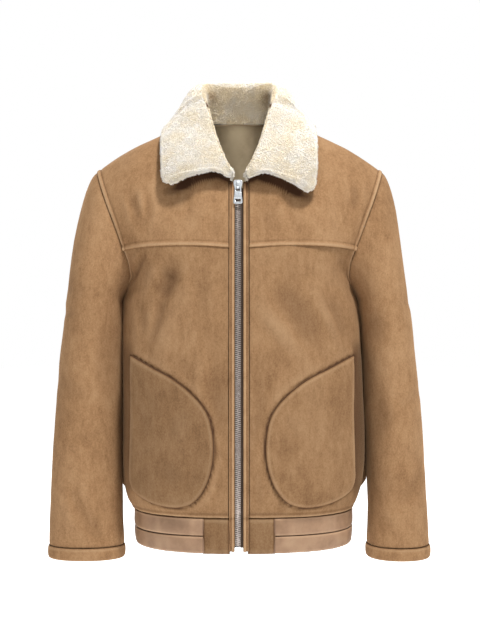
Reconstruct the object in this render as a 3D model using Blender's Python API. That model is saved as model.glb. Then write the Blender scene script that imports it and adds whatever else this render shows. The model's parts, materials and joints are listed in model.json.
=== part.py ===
"""Shearling-collar zip-up jacket, filled out as worn and hollow, with no wearer.

Sizes are in millimetres until the mesh is made. +Z is up, the front faces -Y, and the wearer's
right side is at -X. The origin is the middle of the neck at the height of the shoulder seams'
neck ends. Every panel is a wall between an outer surface and the same surface moved inwards.
"""

import math

import bmesh
import bpy
import numpy as np
from mathutils import Vector
from mathutils.bvhtree import BVHTree

MM = 0.001
RIGHT, LEFT = -1, 1
FRONT, BACK = -1, 1
SIDE_NAMES = {RIGHT: "right", LEFT: "left"}
FACE_NAMES = {FRONT: "front", BACK: "back"}

# Walls and gaps
SEAM_GAP = 0.3
WALL = 5.5
BAND_WALL = 6.0
EDGE_WALL = 4.0
LINING_WALL = 1.5
LINING_LIFT = 1.1
LINING_SHORT = 3.0
WELT_RISE = 1.4
WELT_WIDTH = 7.0

# Heights
HEM_Z = -691.0
BAND_SEAM_Z = -664.0
HEM_SEAM_Z = -636.0
YOKE_SEAM_Z = -219.0
YOKE_SEAM_ARCH = 4.5
ARMPIT_Z = -282.0
SHOULDER_Z = -88.0
NECK_FRONT_Z = -118.0
CUFF_SEAM_Z = -695.0
CUFF_HEM_Z = -716.0

# Breadths, from the middle
EDGE_IN_X = 6.1
EDGE_OUT_X = 15.55
NECK_HALF = 75.0
NECK_FRONT_Y = -95.0
NECK_BACK_Y = 70.0
NECK_BACK_Z = 2.0
SHOULDER_HALF = {RIGHT: 233.0, LEFT: 235.0}
TAB_X = 54.0
ARM_DEPTH = {FRONT: 65.0, BACK: 68.0}
SQUARENESS = 0.78

# The torso by height: where the side edge lies on each side, and how far the middle of the
# front and of the back stand off. The side edge is the side seam up to the armpit, and the
# armhole above it.
TORSO_COLUMNS = ("z", "right", "left", "front", "back")
TORSO = (
    (-691.0, 168.0, 183.0, 129.0, 122.0),
    (-664.0, 170.0, 185.0, 132.0, 124.0),
    (-637.0, 171.0, 185.5, 133.0, 124.5),
    (-622.0, 180.0, 193.0, 139.0, 129.0),
    (-590.0, 187.0, 200.5, 141.5, 131.0),
    (-520.0, 188.5, 203.5, 140.0, 130.0),
    (-450.0, 188.5, 202.0, 137.5, 128.0),
    (-370.0, 187.5, 198.0, 134.0, 125.0),
    (-310.0, 183.5, 191.0, 129.5, 122.0),
    (-282.0, 177.0, 181.5, 126.0, 120.0),
    (-260.0, 174.0, 177.0, 123.0, 118.5),
    (-240.0, 176.0, 178.0, 120.5, 117.0),
    (-219.0, 183.5, 185.5, 118.0, 115.0),
    (-179.0, 198.5, 200.5, 112.0, 112.0),
    (-136.0, 215.5, 217.5, 101.0, 106.0),
    (-88.0, 233.0, 235.0, 88.0, 96.0),
)

# A sleeve by height: its edge beside the body, its outer edge, the depth at which it hangs
# and half its depth.
SLEEVE_COLUMNS = ("z", "inner", "outer", "middle_y", "half_depth")
SLEEVE = {
    RIGHT: (
        (-304.0, 192.0, 283.0, -6.0, 77.0),
        (-335.0, 191.5, 286.0, -8.0, 75.0),
        (-395.0, 190.5, 293.0, -12.0, 69.0),
        (-460.0, 190.5, 297.5, -17.0, 63.0),
        (-525.0, 190.5, 302.0, -21.0, 58.0),
        (-590.0, 190.5, 305.5, -24.0, 53.0),
        (-650.0, 190.0, 308.0, -26.0, 48.0),
        (-695.0, 187.0, 308.5, -27.0, 44.0),
    ),
    LEFT: (
        (-304.0, 195.0, 278.0, -6.0, 77.0),
        (-335.0, 199.0, 283.0, -8.0, 75.0),
        (-395.0, 202.0, 289.0, -11.0, 71.0),
        (-460.0, 204.5, 295.5, -14.0, 67.0),
        (-525.0, 208.0, 300.5, -17.0, 63.0),
        (-590.0, 210.0, 304.0, -19.0, 59.0),
        (-650.0, 210.5, 308.0, -20.0, 55.0),
        (-695.0, 209.0, 310.0, -21.0, 52.0),
    ),
}
SLEEVE_SQUARENESS = 0.92

# Soft folds of the fronts and the back: a trough (rise below 0) or ridge from one point to
# another, in the distance from the middle line and the height, and how wide it is.
FOLD_COLUMNS = ("from_x", "from_z", "to_x", "to_z", "half_width", "rise")
FOLDS = {
    (RIGHT, FRONT): (
        (112.0, -262.0, 142.0, -372.0, 24.0, -4.0),
        (104.0, -250.0, 128.0, -284.0, 20.0, -2.5),
        (36.0, -390.0, 36.0, -530.0, 22.0, -2.5),
        (168.0, -130.0, 154.0, -200.0, 20.0, -3.0),
    ),
    (LEFT, FRONT): (
        (56.0, -262.0, 132.0, -372.0, 26.0, -4.0),
        (142.0, -298.0, 174.0, -366.0, 20.0, -3.0),
        (52.0, -480.0, 40.0, -600.0, 22.0, -2.0),
        (186.0, -120.0, 186.0, -160.0, 18.0, -2.5),
    ),
    (RIGHT, BACK): (
        (150.0, -230.0, 96.0, -330.0, 26.0, -4.0),
        (60.0, -520.0, 40.0, -610.0, 24.0, -3.0),
    ),
    (LEFT, BACK): (
        (156.0, -240.0, 110.0, -352.0, 26.0, -4.0),
        (96.0, -500.0, 84.0, -600.0, 24.0, -3.0),
    ),
}

# The collar by station, from its front end round to the middle of the back: how far along
# the neck seam it stands, the crest of its roll and the end of its fall.
COLLAR_COLUMNS = (
    "seam", "roll_x", "roll_y", "roll_z", "edge_x", "edge_y", "edge_z", "stand_pull", "fall_pull",
)
COLLAR = (
    (0.000, 12.0, -106.0, -103.0, 103.0, -111.0, -121.0, 11.0, 70.0),
    (0.070, 14.0, -104.0, -94.0, 116.0, -107.0, -112.0, 12.0, 70.0),
    (0.140, 20.0, -97.0, -82.0, 120.0, -99.0, -95.0, 14.0, 70.0),
    (0.225, 30.0, -80.0, -58.0, 122.0, -82.0, -68.0, 17.0, 70.0),
    (0.310, 40.0, -54.0, -26.0, 124.0, -58.0, -43.0, 20.0, 72.0),
    (0.400, 50.0, -24.0, 12.0, 125.0, -30.0, -23.0, 26.0, 74.0),
    (0.500, 58.0, 2.0, 42.0, 124.0, 0.0, -14.0, 40.0, 80.0),
    (0.625, 63.0, 28.0, 62.0, 114.0, 44.0, -16.0, 56.0, 86.0),
    (0.750, 54.0, 49.0, 73.0, 90.0, 78.0, -20.0, 62.0, 88.0),
    (0.875, 30.0, 60.0, 75.0, 48.0, 99.0, -24.0, 64.0, 88.0),
    (1.000, 0.0, 63.0, 75.0, 0.0, 105.0, -25.0, 64.0, 88.0),
)
COLLAR_LEFT_DROP = 12.0
COLLAR_WALL = 9.0
STAND_WALL = 5.5
ROLL_WALL = 2.6
COLLAR_OVERHANG = 1.2
COLLAR_SEAM_LIFT = 0.9
COLLAR_REST = 2.6
COLLAR_TIP_REST = 5.0
COLLAR_TIP_ROUND = 3.0
COLLAR_START_X = 12.0
COLLAR_END_CAP = 2.5
COLLAR_END_SHARE = 0.55
COLLAR_LOOK_OUT = 30.0
COLLAR_FREE_STEPS = 2
COLLAR_ROUNDS = 6
COLLAR_STEPS = 16
COLLAR_FINE_FROM = 0.05
COLLAR_FINE_TO = 0.9

# A pocket's outline on the front as distance from the middle line and height, going round from
# its top corner.
POCKET = (
    (165.0, -392.0),
    (129.0, -408.0),
    (97.0, -425.0),
    (66.0, -451.0),
    (46.0, -480.0),
    (38.5, -520.0),
    (41.0, -558.0),
    (52.0, -590.0),
    (70.0, -612.0),
    (96.0, -620.0),
    (128.0, -617.0),
    (156.0, -606.0),
    (174.0, -592.0),
    (175.0, -560.0),
    (172.0, -480.0),
)
POCKET_REACH = {RIGHT: 1.0, LEFT: 1.075}
POCKET_LIFT = 1.5

# A pocket's rings from its edge inwards: how large, and how far its two faces stand off the
# front. It is empty inside, and its edge is rounded.
POCKET_RINGS = (
    (1.0, 0.0, 1.6), (0.985, 0.0, 4.6), (0.94, 0.2, 6.4), (0.8, 1.2, 7.2), (0.56, 2.0, 7.8),
    (0.26, 2.4, 8.2),
)

# Where the panels have their rows and columns
NECK_SHARE = 0.4
BODY_HEIGHTS = (-628, -612, -588, -556, -522, -486, -450, -414, -378, -342, -312, -282)
ARM_STEPS = (-76, -62, -48, -34)
YOKE_RISES = (0.16, 0.3, 0.44, 0.58, 0.72, 0.86, 1.0)
NECK_SHARES = (0.12, 0.21, 0.3, 0.365, 0.4)
SIDE_SHARES = (0.48, 0.57, 0.66, 0.75, 0.84, 0.91)
WELT_SHARES = (0.95, 0.965, 1.0)
FRONT_START = NECK_SHARE * (EDGE_OUT_X - EDGE_IN_X) / (NECK_HALF - EDGE_IN_X)
FRONT_SHARES = (FRONT_START,) + NECK_SHARES + SIDE_SHARES + WELT_SHARES
BACK_SHARES = (0.0, 0.1, 0.2, 0.3, 0.4) + SIDE_SHARES + WELT_SHARES
CAP_STEPS = (0.0, 0.1, 0.25, 0.43, 0.62, 0.81)
SLEEVE_HEIGHTS = (-304, -334, -372, -412, -456, -504, -552, -600, -650, CUFF_SEAM_Z)

# The hem strips from seam to seam: share of the height and how far they puff.
BAND_PROFILE = ((0.0, 0.0), (0.14, 1.0), (0.5, 1.6), (0.86, 1.0), (1.0, 0.0))

# Zip
ZIP_X = -1.5
CHAIN_HALF = 4.4
CHAIN_TOP_DEPTH = 0.8
CHAIN_LOW_DEPTH = 3.8
TAPE_TOP_DEPTH = 4.3
TAPE_LOW_DEPTH = 5.4
TAPE_OUT_X = 15.2
BOX_LOW_Z = -689.0
BOX_HIGH_Z = -680.0
SLIDER_Z = -120.5
SLIDER_LENGTH = 15.0
SLIDER_HALF = 7.0
HINGE_OUT = 4.8
HINGE_LOW = 4.0
PULL_LENGTH = 29.5
PULL_TOP_HALF = 5.2
PULL_LOW_HALF = 7.0
PULL_THICK = 1.5

SUEDE = (0.416, 0.235, 0.118)
SUEDE_DEEP = (0.330, 0.186, 0.095)
SMOOTH_LEATHER = (0.400, 0.252, 0.158)
SHEARLING = (0.870, 0.780, 0.620)
LINING = (0.330, 0.240, 0.160)
DARK_TAPE = (0.070, 0.055, 0.045)
BRASS_GREY = (0.420, 0.380, 0.340)
SILVER = (0.620, 0.640, 0.650)


# Small helpers.


def unit(vector):
    vector = np.asarray(vector, float)
    return vector / max(np.linalg.norm(vector), 1e-9)


def smooth(low, high, value):
    """0 at low and 1 at high, with even ends. low may be the larger of the two."""
    share = min(1.0, max(0.0, (value - low) / (high - low)))
    return share * share * (3 - 2 * share)


def read_table(rows, columns, name, at):
    """The named column of a table by its first column, joined by a smooth curve."""
    column = columns.index(name)
    keys = [row[0] for row in rows]
    values = [row[column] for row in rows]
    if keys[0] > keys[-1]:
        keys.reverse()
        values.reverse()
    at = min(keys[-1], max(keys[0], at))
    i = min(len(keys) - 2, max(0, int(np.searchsorted(keys, at, side="right")) - 1))
    slopes = []
    for k in (i, i + 1):
        below, above = max(0, k - 1), min(len(keys) - 1, k + 1)
        slopes.append((values[above] - values[below]) / (keys[above] - keys[below]))
    span = keys[i + 1] - keys[i]
    t = (at - keys[i]) / span
    return hermite(values[i], values[i + 1], slopes[0] * span, slopes[1] * span, t)


def hermite(start, end, leave, arrive, t):
    """The cubic from start to end with these end tangents."""
    t2, t3 = t * t, t * t * t
    return (
        (2 * t3 - 3 * t2 + 1) * start
        + (t3 - 2 * t2 + t) * leave
        + (3 * t2 - 2 * t3) * end
        + (t3 - t2) * arrive
    )


def signed_power(value, power):
    return math.copysign(abs(value) ** power, value)


def make_material(name, colour, roughness, metallic=0.0):
    material = bpy.data.materials.new(name)
    material.use_nodes = True
    shader = material.node_tree.nodes["Principled BSDF"]
    shader.inputs["Base Color"].default_value = (*colour, 1.0)
    shader.inputs["Roughness"].default_value = roughness
    shader.inputs["Metallic"].default_value = metallic
    material.diffuse_color = (*colour, 1.0)
    return material


def add_object(name, points, faces, material):
    """A mesh object from points in millimetres, with its faces turned outwards."""
    mesh = bpy.data.meshes.new(name)
    mesh.from_pydata([tuple(float(v) * MM for v in p) for p in points], [], faces)
    work = bmesh.new()
    work.from_mesh(mesh)
    bmesh.ops.triangulate(work, faces=work.faces[:])
    bmesh.ops.recalc_face_normals(work, faces=work.faces[:])
    work.to_mesh(mesh)
    work.free()
    mesh.shade_smooth()
    mesh.set_sharp_from_angle(angle=math.radians(40))
    mesh.materials.append(material)
    obj = bpy.data.objects.new(name, mesh)
    bpy.context.scene.collection.objects.link(obj)
    return obj


def wall_object(name, outer, inner, material, tube=False):
    """A wall between two grids of rows by columns. A tube's columns meet round it."""
    rows, columns = len(outer), len(outer[0])
    points = [p for row in outer for p in row] + [p for row in inner for p in row]
    lift = rows * columns
    faces = []
    last = columns if tube else columns - 1
    for i in range(rows - 1):
        for j in range(last):
            a, b = i * columns + j, i * columns + (j + 1) % columns
            c, d = b + columns, a + columns
            faces.append((a, b, c, d))
            faces.append((lift + d, lift + c, lift + b, lift + a))
    for j in range(last):
        a, b = j, (j + 1) % columns
        faces.append((a, lift + a, lift + b, b))
        a, b = a + (rows - 1) * columns, b + (rows - 1) * columns
        faces.append((b, lift + b, lift + a, a))
    if not tube:
        for i in range(rows - 1):
            a, b = i * columns, (i + 1) * columns
            faces.append((b, lift + b, lift + a, a))
            a, b = a + columns - 1, b + columns - 1
            faces.append((a, lift + a, lift + b, b))
    return add_object(name, points, faces, material)


# The torso's surface.


def arm_angle(z):
    """The armhole's angle at a height: -90 degrees at the armpit, 90 at the shoulder."""
    middle, half = (ARMPIT_Z + SHOULDER_Z) / 2, (SHOULDER_Z - ARMPIT_Z) / 2
    return math.asin(min(1.0, max(-1.0, (z - middle) / half)))


def arm_height(angle):
    middle, half = (ARMPIT_Z + SHOULDER_Z) / 2, (SHOULDER_Z - ARMPIT_Z) / 2
    return middle + half * math.sin(angle)


def armhole_point(side, face, angle):
    z = arm_height(angle)
    x = read_table(TORSO, TORSO_COLUMNS, SIDE_NAMES[side], z)
    return np.array([side * x, face * ARM_DEPTH[face] * math.cos(angle), z])


def ring_shape(side, face, z):
    """Half width and depth of the full ring at a height, and the turn at which its panel ends."""
    edge_x = read_table(TORSO, TORSO_COLUMNS, SIDE_NAMES[side], z)
    depth = read_table(TORSO, TORSO_COLUMNS, FACE_NAMES[face], z)
    edge_y = ARM_DEPTH[face] * math.cos(arm_angle(z)) if z > ARMPIT_Z else 0.0
    turn = math.acos((edge_y / depth) ** (1 / SQUARENESS))
    return edge_x / math.sin(turn) ** SQUARENESS, depth, turn


def turn_of_x(half, x):
    return math.asin(min(1.0, (x / half) ** (1 / SQUARENESS)))


def ring_point(side, face, share, z):
    """A point of the ring. share runs from 0 near the middle line to 1 at the panel's side
    edge, and passes straight above the neck's side at NECK_SHARE."""
    half, depth, last = ring_shape(side, face, z)
    start_x = EDGE_IN_X if face == FRONT else 0.0
    if share <= NECK_SHARE:
        turn = turn_of_x(half, start_x + (NECK_HALF - start_x) * share / NECK_SHARE)
    else:
        first = turn_of_x(half, NECK_HALF)
        turn = first + (last - first) * (share - NECK_SHARE) / (1 - NECK_SHARE)
    x = half * math.sin(turn) ** SQUARENESS
    y = depth * abs(math.cos(turn)) ** SQUARENESS if share < 1 or z > ARMPIT_Z else 0.0
    return np.array([side * x, face * y, z])


def neck_point(side, face, share):
    """A point of the neck seam. share is 0 near the middle line and 1 at the neck's side."""
    start_x = EDGE_IN_X if face == FRONT else 0.0
    x = start_x + (NECK_HALF - start_x) * share
    angle = math.asin((x / NECK_HALF) ** (1 / 0.9))
    lean = math.cos(angle)
    if face == FRONT:
        return np.array([side * x, NECK_FRONT_Y * lean**0.85, NECK_FRONT_Z * lean**1.5])
    return np.array([side * x, NECK_BACK_Y * lean**0.8, NECK_BACK_Z * lean])


def shoulder_point(side, share):
    """A point of the shoulder seam, from the neck's side to the armhole."""
    end = SHOULDER_HALF[side]
    x = NECK_HALF + (end - NECK_HALF) * share
    drop = SHOULDER_Z * share + 6.0 * math.sin(math.pi * share**1.6)
    return np.array([side * x, 0.0, drop])


def top_edge(side, face, share):
    if share <= NECK_SHARE:
        return neck_point(side, face, share / NECK_SHARE)
    return shoulder_point(side, (share - NECK_SHARE) / (1 - NECK_SHARE))


def seam_height(face, share):
    """The yoke seam's height, which rises a little between the zip and the armhole."""
    if face == BACK:
        return YOKE_SEAM_Z
    return YOKE_SEAM_Z + YOKE_SEAM_ARCH * math.sin(math.pi * min(1.0, max(0.0, share)))


def free_upper_point(side, face, share, rise):
    """The plain curve from the yoke seam's height up to the neck or the shoulder seam."""
    low_z = seam_height(face, share)
    low = ring_point(side, face, share, low_z)
    below = ring_point(side, face, share, low_z - 4)
    high = top_edge(side, face, share)
    reach = np.linalg.norm(high - low)
    across = smooth(0.0, NECK_SHARE, share)
    neck_way = np.array([0.0, -face * 0.30, 1.0])
    shoulder_way = np.array([0.0, -face, 0.7 * smooth(0.8, NECK_SHARE, share)])
    arrive = unit(neck_way * (1 - across) + shoulder_way * across) * reach
    return hermite(low, high, unit(low - below) * reach, arrive, rise)


def upper_point(side, face, share, rise):
    """A point above the yoke seam's height, led to the armhole at its outer edge."""
    low_angle = arm_angle(seam_height(face, 1.0))
    edge = armhole_point(side, face, low_angle + (math.pi / 2 - low_angle) * rise)
    lead = smooth(0.5, 1.0, share)
    point = free_upper_point(side, face, share, rise)
    return point + lead * (edge - free_upper_point(side, face, 1.0, rise))


def surface_point(side, face, share, row):
    """row is ("ring", height) below the yoke seam's height, or ("upper", rise) above it."""
    zone, at = row
    if zone == "ring":
        return ring_point(side, face, share, at)
    return upper_point(side, face, share, at)


def ring_normal(side, face, share, z):
    """The outward direction of the ring surface at a fixed turn, which stays even at the armpit."""

    def at_turn(turn, height):
        half, depth, _ = ring_shape(side, face, height)
        x = half * math.sin(turn) ** SQUARENESS
        y = depth * math.cos(turn) ** SQUARENESS
        return np.array([side * x, face * y, height])

    half, depth, last = ring_shape(side, face, z)
    x = abs(ring_point(side, face, share, z)[0])
    turn = min(1.54, max(0.03, turn_of_x(half, x)))
    low_z, high_z = max(HEM_Z, z - 3), z + 3
    if z > HEM_SEAM_Z:
        low_z = max(low_z, HEM_SEAM_Z)
    else:
        high_z = min(high_z, HEM_SEAM_Z)
    across = at_turn(turn + 0.02, z) - at_turn(turn - 0.02, z)
    along = at_turn(turn, high_z) - at_turn(turn, low_z)
    return unit(np.cross(across, along) * -side * face)


def surface_normal(side, face, share, row):
    zone, at = row
    if zone == "ring" or at == 0:
        normal = ring_normal(side, face, share, at if zone == "ring" else seam_height(face, share))
    else:
        before, after = max(0.0, share - 0.012), min(1.0, share + 0.012)
        across = upper_point(side, face, after, at) - upper_point(side, face, before, at)
        low, high = max(0.0, at - 0.02), min(1.0, at + 0.02)
        along = upper_point(side, face, share, high) - upper_point(side, face, share, low)
        normal = unit(np.cross(across, along) * -side * face)
        if at == 1.0:
            normal[1] *= 1 - smooth(NECK_SHARE * 0.7, NECK_SHARE, share)
    if zone == "ring" and share == 1.0 and at <= ARMPIT_Z:
        normal[1] = 0.0
    if share == 0.0 and face == BACK:
        normal[0] = 0.0
    return unit(normal)


def fold_rise(side, face, point):
    """How far the folds push this place in or out."""
    total = 0.0
    for row in FOLDS[side, face]:
        fold = dict(zip(FOLD_COLUMNS, row))
        start = np.array([fold["from_x"], fold["from_z"]])
        way = np.array([fold["to_x"], fold["to_z"]]) - start
        here = np.array([abs(point[0]), point[2]]) - start
        along = float(here @ way) / float(way @ way)
        off = np.linalg.norm(here - way * min(1.0, max(0.0, along))) / fold["half_width"]
        if off < 1:
            ends = smooth(-0.15, 0.2, along) * smooth(1.15, 0.8, along)
            total += fold["rise"] * ends * math.cos(off * math.pi / 2) ** 2
    return total


def panel_grids(side, face, shares, rows, welt=None, wall=WALL, lift=0.0):
    """The outer and inner points of a panel, in rows by shares. welt(i, j) is its raised seam."""
    outer, inner = [], []
    for i, row in enumerate(rows):
        outer_row, inner_row = [], []
        for j, share in enumerate(shares):
            here = row(share) if callable(row) else row
            point = surface_point(side, face, share, here)
            normal = surface_normal(side, face, share, here)
            point = point + normal * (fold_rise(side, face, point) + lift)
            outer_row.append(point + normal * (welt(i, j) if welt else 0.0))
            inner_row.append(point - normal * wall)
        outer.append(outer_row)
        inner.append(inner_row)
    return outer, inner


def draw_in(outer, inner, edges, by=SEAM_GAP / 2):
    """Moves the named edges of a wall back from their seams."""
    picks = {
        "low": [((0, j), (1, j)) for j in range(len(outer[0]))],
        "high": [((-1, j), (-2, j)) for j in range(len(outer[0]))],
        "near": [((i, 0), (i, 1)) for i in range(len(outer))],
        "far": [((i, -1), (i, -2)) for i in range(len(outer))],
    }
    moves = []
    for edge in edges:
        for (i, j), (k, m) in picks[edge]:
            moves.append((i, j, unit(outer[k][m] - outer[i][j]) * by))
    for i, j, move in moves:
        outer[i][j] = outer[i][j] + move
        inner[i][j] = inner[i][j] + move


def level_share(angle):
    """A height between the armpit and the yoke seam, as a share of that distance."""
    return (arm_height(math.radians(angle)) - ARMPIT_Z) / (YOKE_SEAM_Z - ARMPIT_Z)


def body_rows(face, seam_row=True):
    rows = [("ring", HEM_SEAM_Z)] + [("ring", float(z)) for z in BODY_HEIGHTS]
    steps = [level_share(a) for a in ARM_STEPS]
    for step in steps + ([1.0] if seam_row else []):
        def row(share, step=step):
            return ("ring", ARMPIT_Z + (seam_height(face, share) - ARMPIT_Z) * step)
        rows.append(row)
    return rows


def welt_rows(side):
    """The yoke's rows: its seam, the two sides of its raised welt, then evenly up."""

    def beside(millimetres):
        def row(share):
            low = surface_point(side, FRONT, share, ("upper", 0.0))
            high = surface_point(side, FRONT, share, ("upper", 1.0))
            return ("upper", millimetres / (1.06 * np.linalg.norm(high - low)))
        return row

    return [("upper", 0.0), beside(WELT_WIDTH), beside(WELT_WIDTH * 1.4)] + [
        ("upper", rise) for rise in YOKE_RISES
    ]


def armhole_welt(count, above):
    """The raised edge beside the armhole, on the last two columns. It grows from the armpit up."""
    steps = len(ARM_STEPS)
    return lambda i, j: WELT_RISE * smooth(0, steps, i - above) if j >= count - 2 else 0.0


# Body pieces.


def make_front(side, suede):
    count, above = len(FRONT_SHARES), len(BODY_HEIGHTS) + 1
    outer, inner = panel_grids(
        side, FRONT, FRONT_SHARES, body_rows(FRONT), armhole_welt(count, above)
    )
    draw_in(outer, inner, ("low", "high", "near"))
    draw_side_seam(outer, inner)
    return wall_object("front_" + SIDE_NAMES[side], outer, inner, suede)


def draw_side_seam(outer, inner, by=SEAM_GAP / 2):
    """Keeps a panel's side edge off the side seam, up to the armpit."""
    for i in range(len(BODY_HEIGHTS) + 1):
        step = math.copysign(by, outer[i][-2][1])
        outer[i][-1] = outer[i][-1] + np.array([0.0, step, 0.0])
        inner[i][-1] = inner[i][-1] + np.array([0.0, step, 0.0])


def make_yoke(side, suede):
    count = len(FRONT_SHARES)

    def welt(i, j):
        return WELT_RISE if i <= 1 or j >= count - 2 else 0.0

    outer, inner = panel_grids(side, FRONT, FRONT_SHARES, welt_rows(side), welt)
    draw_in(outer, inner, ("low", "high", "near"))
    return wall_object("yoke_" + SIDE_NAMES[side], outer, inner, suede)


def make_back(suede):
    """One panel, from the right side seam across to the left one."""
    rows = body_rows(BACK, seam_row=False) + [("upper", 0.0)] + [
        ("upper", rise) for rise in YOKE_RISES
    ]
    halves = []
    for side in (RIGHT, LEFT):
        outer, inner = panel_grids(
            side, BACK, BACK_SHARES, rows, armhole_welt(len(BACK_SHARES), len(BODY_HEIGHTS) + 1)
        )
        draw_in(outer, inner, ("low", "high"))
        draw_side_seam(outer, inner)
        halves.append((outer, inner))
    outer, inner = (
        [list(reversed(a)) + b[1:] for a, b in zip(halves[0][k], halves[1][k])] for k in (0, 1)
    )
    return wall_object("back", outer, inner, suede)


# Sleeves and cuffs.


def loop_samples(side):
    """The armhole's samples: face, angle and the row of the body that has the same place."""
    front = [(-math.pi / 2, ("ring", ARMPIT_Z))]
    back = []
    for face, found in ((FRONT, front), (BACK, back)):
        seam_z = seam_height(face, 1.0)
        for step in [level_share(a) for a in ARM_STEPS]:
            z = ARMPIT_Z + (seam_z - ARMPIT_Z) * step
            found.append((arm_angle(z), ("ring", z)))
        first = arm_angle(seam_z)
        rows = welt_rows(side) if face == FRONT else [("upper", 0.0)] + [
            ("upper", rise) for rise in YOKE_RISES
        ]
        for row in rows:
            here = row(1.0) if callable(row) else row
            found.append((first + (math.pi / 2 - first) * here[1], here))
    back.pop()
    samples = [(FRONT, angle, row) for angle, row in front]
    return samples + [(BACK, angle, row) for angle, row in reversed(back)]


def sleeve_point(side, face, angle, z, grow=0.0):
    inner, outer, middle_y, half_depth = (
        read_table(SLEEVE[side], SLEEVE_COLUMNS, name, z) for name in SLEEVE_COLUMNS[1:]
    )
    half = (outer - inner) / 2 + grow
    across = signed_power(math.sin(angle), SLEEVE_SQUARENESS)
    deep = signed_power(math.cos(angle), SLEEVE_SQUARENESS)
    x = (outer + inner) / 2 + half * across
    return np.array([side * x, middle_y + face * (half_depth + grow) * deep, z])


def sleeve_grid(side, samples):
    """The sleeve's outer points, from the armhole down."""
    rows = []
    top_z = float(SLEEVE_HEIGHTS[0])
    for step in CAP_STEPS:
        row = []
        for face, angle, body_row in samples:
            start = armhole_point(side, face, angle) + np.array([side * 1.5 * SEAM_GAP, 0.0, 0.0])
            end = sleeve_point(side, face, angle, top_z)
            before = surface_point(side, face, 0.985, body_row)
            carry_on = unit(start - before)
            low = smooth(0.2, -0.9, math.sin(angle))
            own = unit((side * (0.62 + 0.3 * low), face * 0.35 * math.cos(angle), 0.25 * low - 0.7))
            at_top = smooth(0.45, 0.95, math.sin(angle))
            leave = unit(own * (1 - at_top) + carry_on * at_top)
            reach = np.linalg.norm(end - start)
            below = sleeve_point(side, face, angle, top_z - 8)
            row.append(hermite(start, end, leave * reach * 0.42, unit(below - end) * reach, step))
        rows.append(row)
    for z in SLEEVE_HEIGHTS:
        rows.append([sleeve_point(side, face, angle, float(z)) for face, angle, _ in samples])
    return rows


def grid_normals(rows):
    """Outward directions of a tube's grid."""
    middle_rows = [sum(row) / len(row) for row in rows]
    normals = []
    for i, row in enumerate(rows):
        found = []
        for j in range(len(row)):
            around = row[(j + 1) % len(row)] - row[j - 1]
            along = rows[min(len(rows) - 1, i + 1)][j] - rows[max(0, i - 1)][j]
            normal = unit(np.cross(around, along))
            found.append(normal if normal @ (row[j] - middle_rows[i]) > 0 else -normal)
        normals.append(found)
    return normals


def make_sleeve(side, suede):
    samples = loop_samples(side)
    outer = sleeve_grid(side, samples)
    normals = grid_normals(outer)
    for j, (face, angle, body_row) in enumerate(samples):
        own = normals[0][j]
        at_top = smooth(0.35, 0.8, math.sin(angle))
        normals[0][j] = unit(
            own * (1 - at_top) + surface_normal(side, face, 1.0, body_row) * at_top
        )
    normals[-1] = [unit(n * np.array([1.0, 1.0, 0.0])) for n in normals[-1]]
    inner = [[p - n * WALL for p, n in zip(*pair)] for pair in zip(outer, normals)]
    lift = np.array([0.0, 0.0, SEAM_GAP / 2])
    outer[-1] = [p + lift for p in outer[-1]]
    inner[-1] = [p + lift for p in inner[-1]]
    return wall_object("sleeve_" + SIDE_NAMES[side], outer, inner, suede, tube=True)


def make_cuff(side, suede):
    """A turned band that stands a little proud of the sleeve and rounds in at its hem."""
    samples = [s for k, s in enumerate(loop_samples(side)) if k % 2 == 0]
    outer, inner = [], []
    height = CUFF_SEAM_Z - CUFF_HEM_Z
    for share, grow in ((0.0, 0.3), (0.18, 1.8), (0.55, 2.2), (0.9, 1.2), (1.0, -1.2)):
        z = CUFF_SEAM_Z - SEAM_GAP / 2 - (height - SEAM_GAP / 2) * share
        ring = []
        for grown in (grow, -WALL if share < 1 else -WALL + 1.2):
            row = []
            for face, angle, _ in samples:
                point = sleeve_point(side, face, angle, CUFF_SEAM_Z, grown)
                row.append(np.array([point[0], point[1], z]))
            ring.append(row)
        outer.append(ring[0])
        inner.append(ring[1])
    return wall_object("cuff_" + SIDE_NAMES[side], outer, inner, suede, tube=True)


# Hem band.


def band_grids(side, face, shares, low_z, high_z):
    """A strip of the band, a little rounded between its two seams."""
    outer, inner = [], []
    for share_up, puff in BAND_PROFILE:
        z = low_z + (high_z - low_z) * share_up
        outer_row, inner_row = [], []
        for share in shares:
            point = ring_point(side, face, share, z)
            normal = ring_normal(side, face, share, z)
            normal = unit((normal[0], 0.0 if share == 1.0 else normal[1], 0.0))
            outer_row.append(point + normal * puff)
            inner_row.append(point - normal * BAND_WALL)
        outer.append(outer_row)
        inner.append(inner_row)
    return outer, inner


def tab_share(x):
    return NECK_SHARE * (x - EDGE_IN_X) / (NECK_HALF - EDGE_IN_X)


def make_tab(side, suede):
    shares = [tab_share(x) for x in (EDGE_OUT_X, 28.0, 41.0, TAB_X)]
    outer, inner = band_grids(side, FRONT, shares, HEM_Z, HEM_SEAM_Z - SEAM_GAP / 2)
    draw_in(outer, inner, ("near", "far"))
    return wall_object("hem_tab_" + SIDE_NAMES[side], outer, inner, suede)


def make_band(name, low_z, high_z, leather):
    """One strip, from the right tab round the back to the left tab."""
    front = [tab_share(TAB_X), 0.4, 0.52, 0.64, 0.76, 0.88, 1.0]
    back = [0.88, 0.76, 0.64, 0.52, 0.4, 0.2, 0.0]
    parts = {}
    for side in (RIGHT, LEFT):
        fore = band_grids(side, FRONT, front, low_z, high_z)
        draw_in(*fore, ("near",))
        aft = band_grids(side, BACK, back, low_z, high_z)
        parts[side] = [[a + b for a, b in zip(fore[k], aft[k])] for k in (0, 1)]
    outer, inner = (
        [a + list(reversed(b))[1:] for a, b in zip(parts[RIGHT][k], parts[LEFT][k])]
        for k in (0, 1)
    )
    return wall_object(name, outer, inner, leather)


# Collar.


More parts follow.
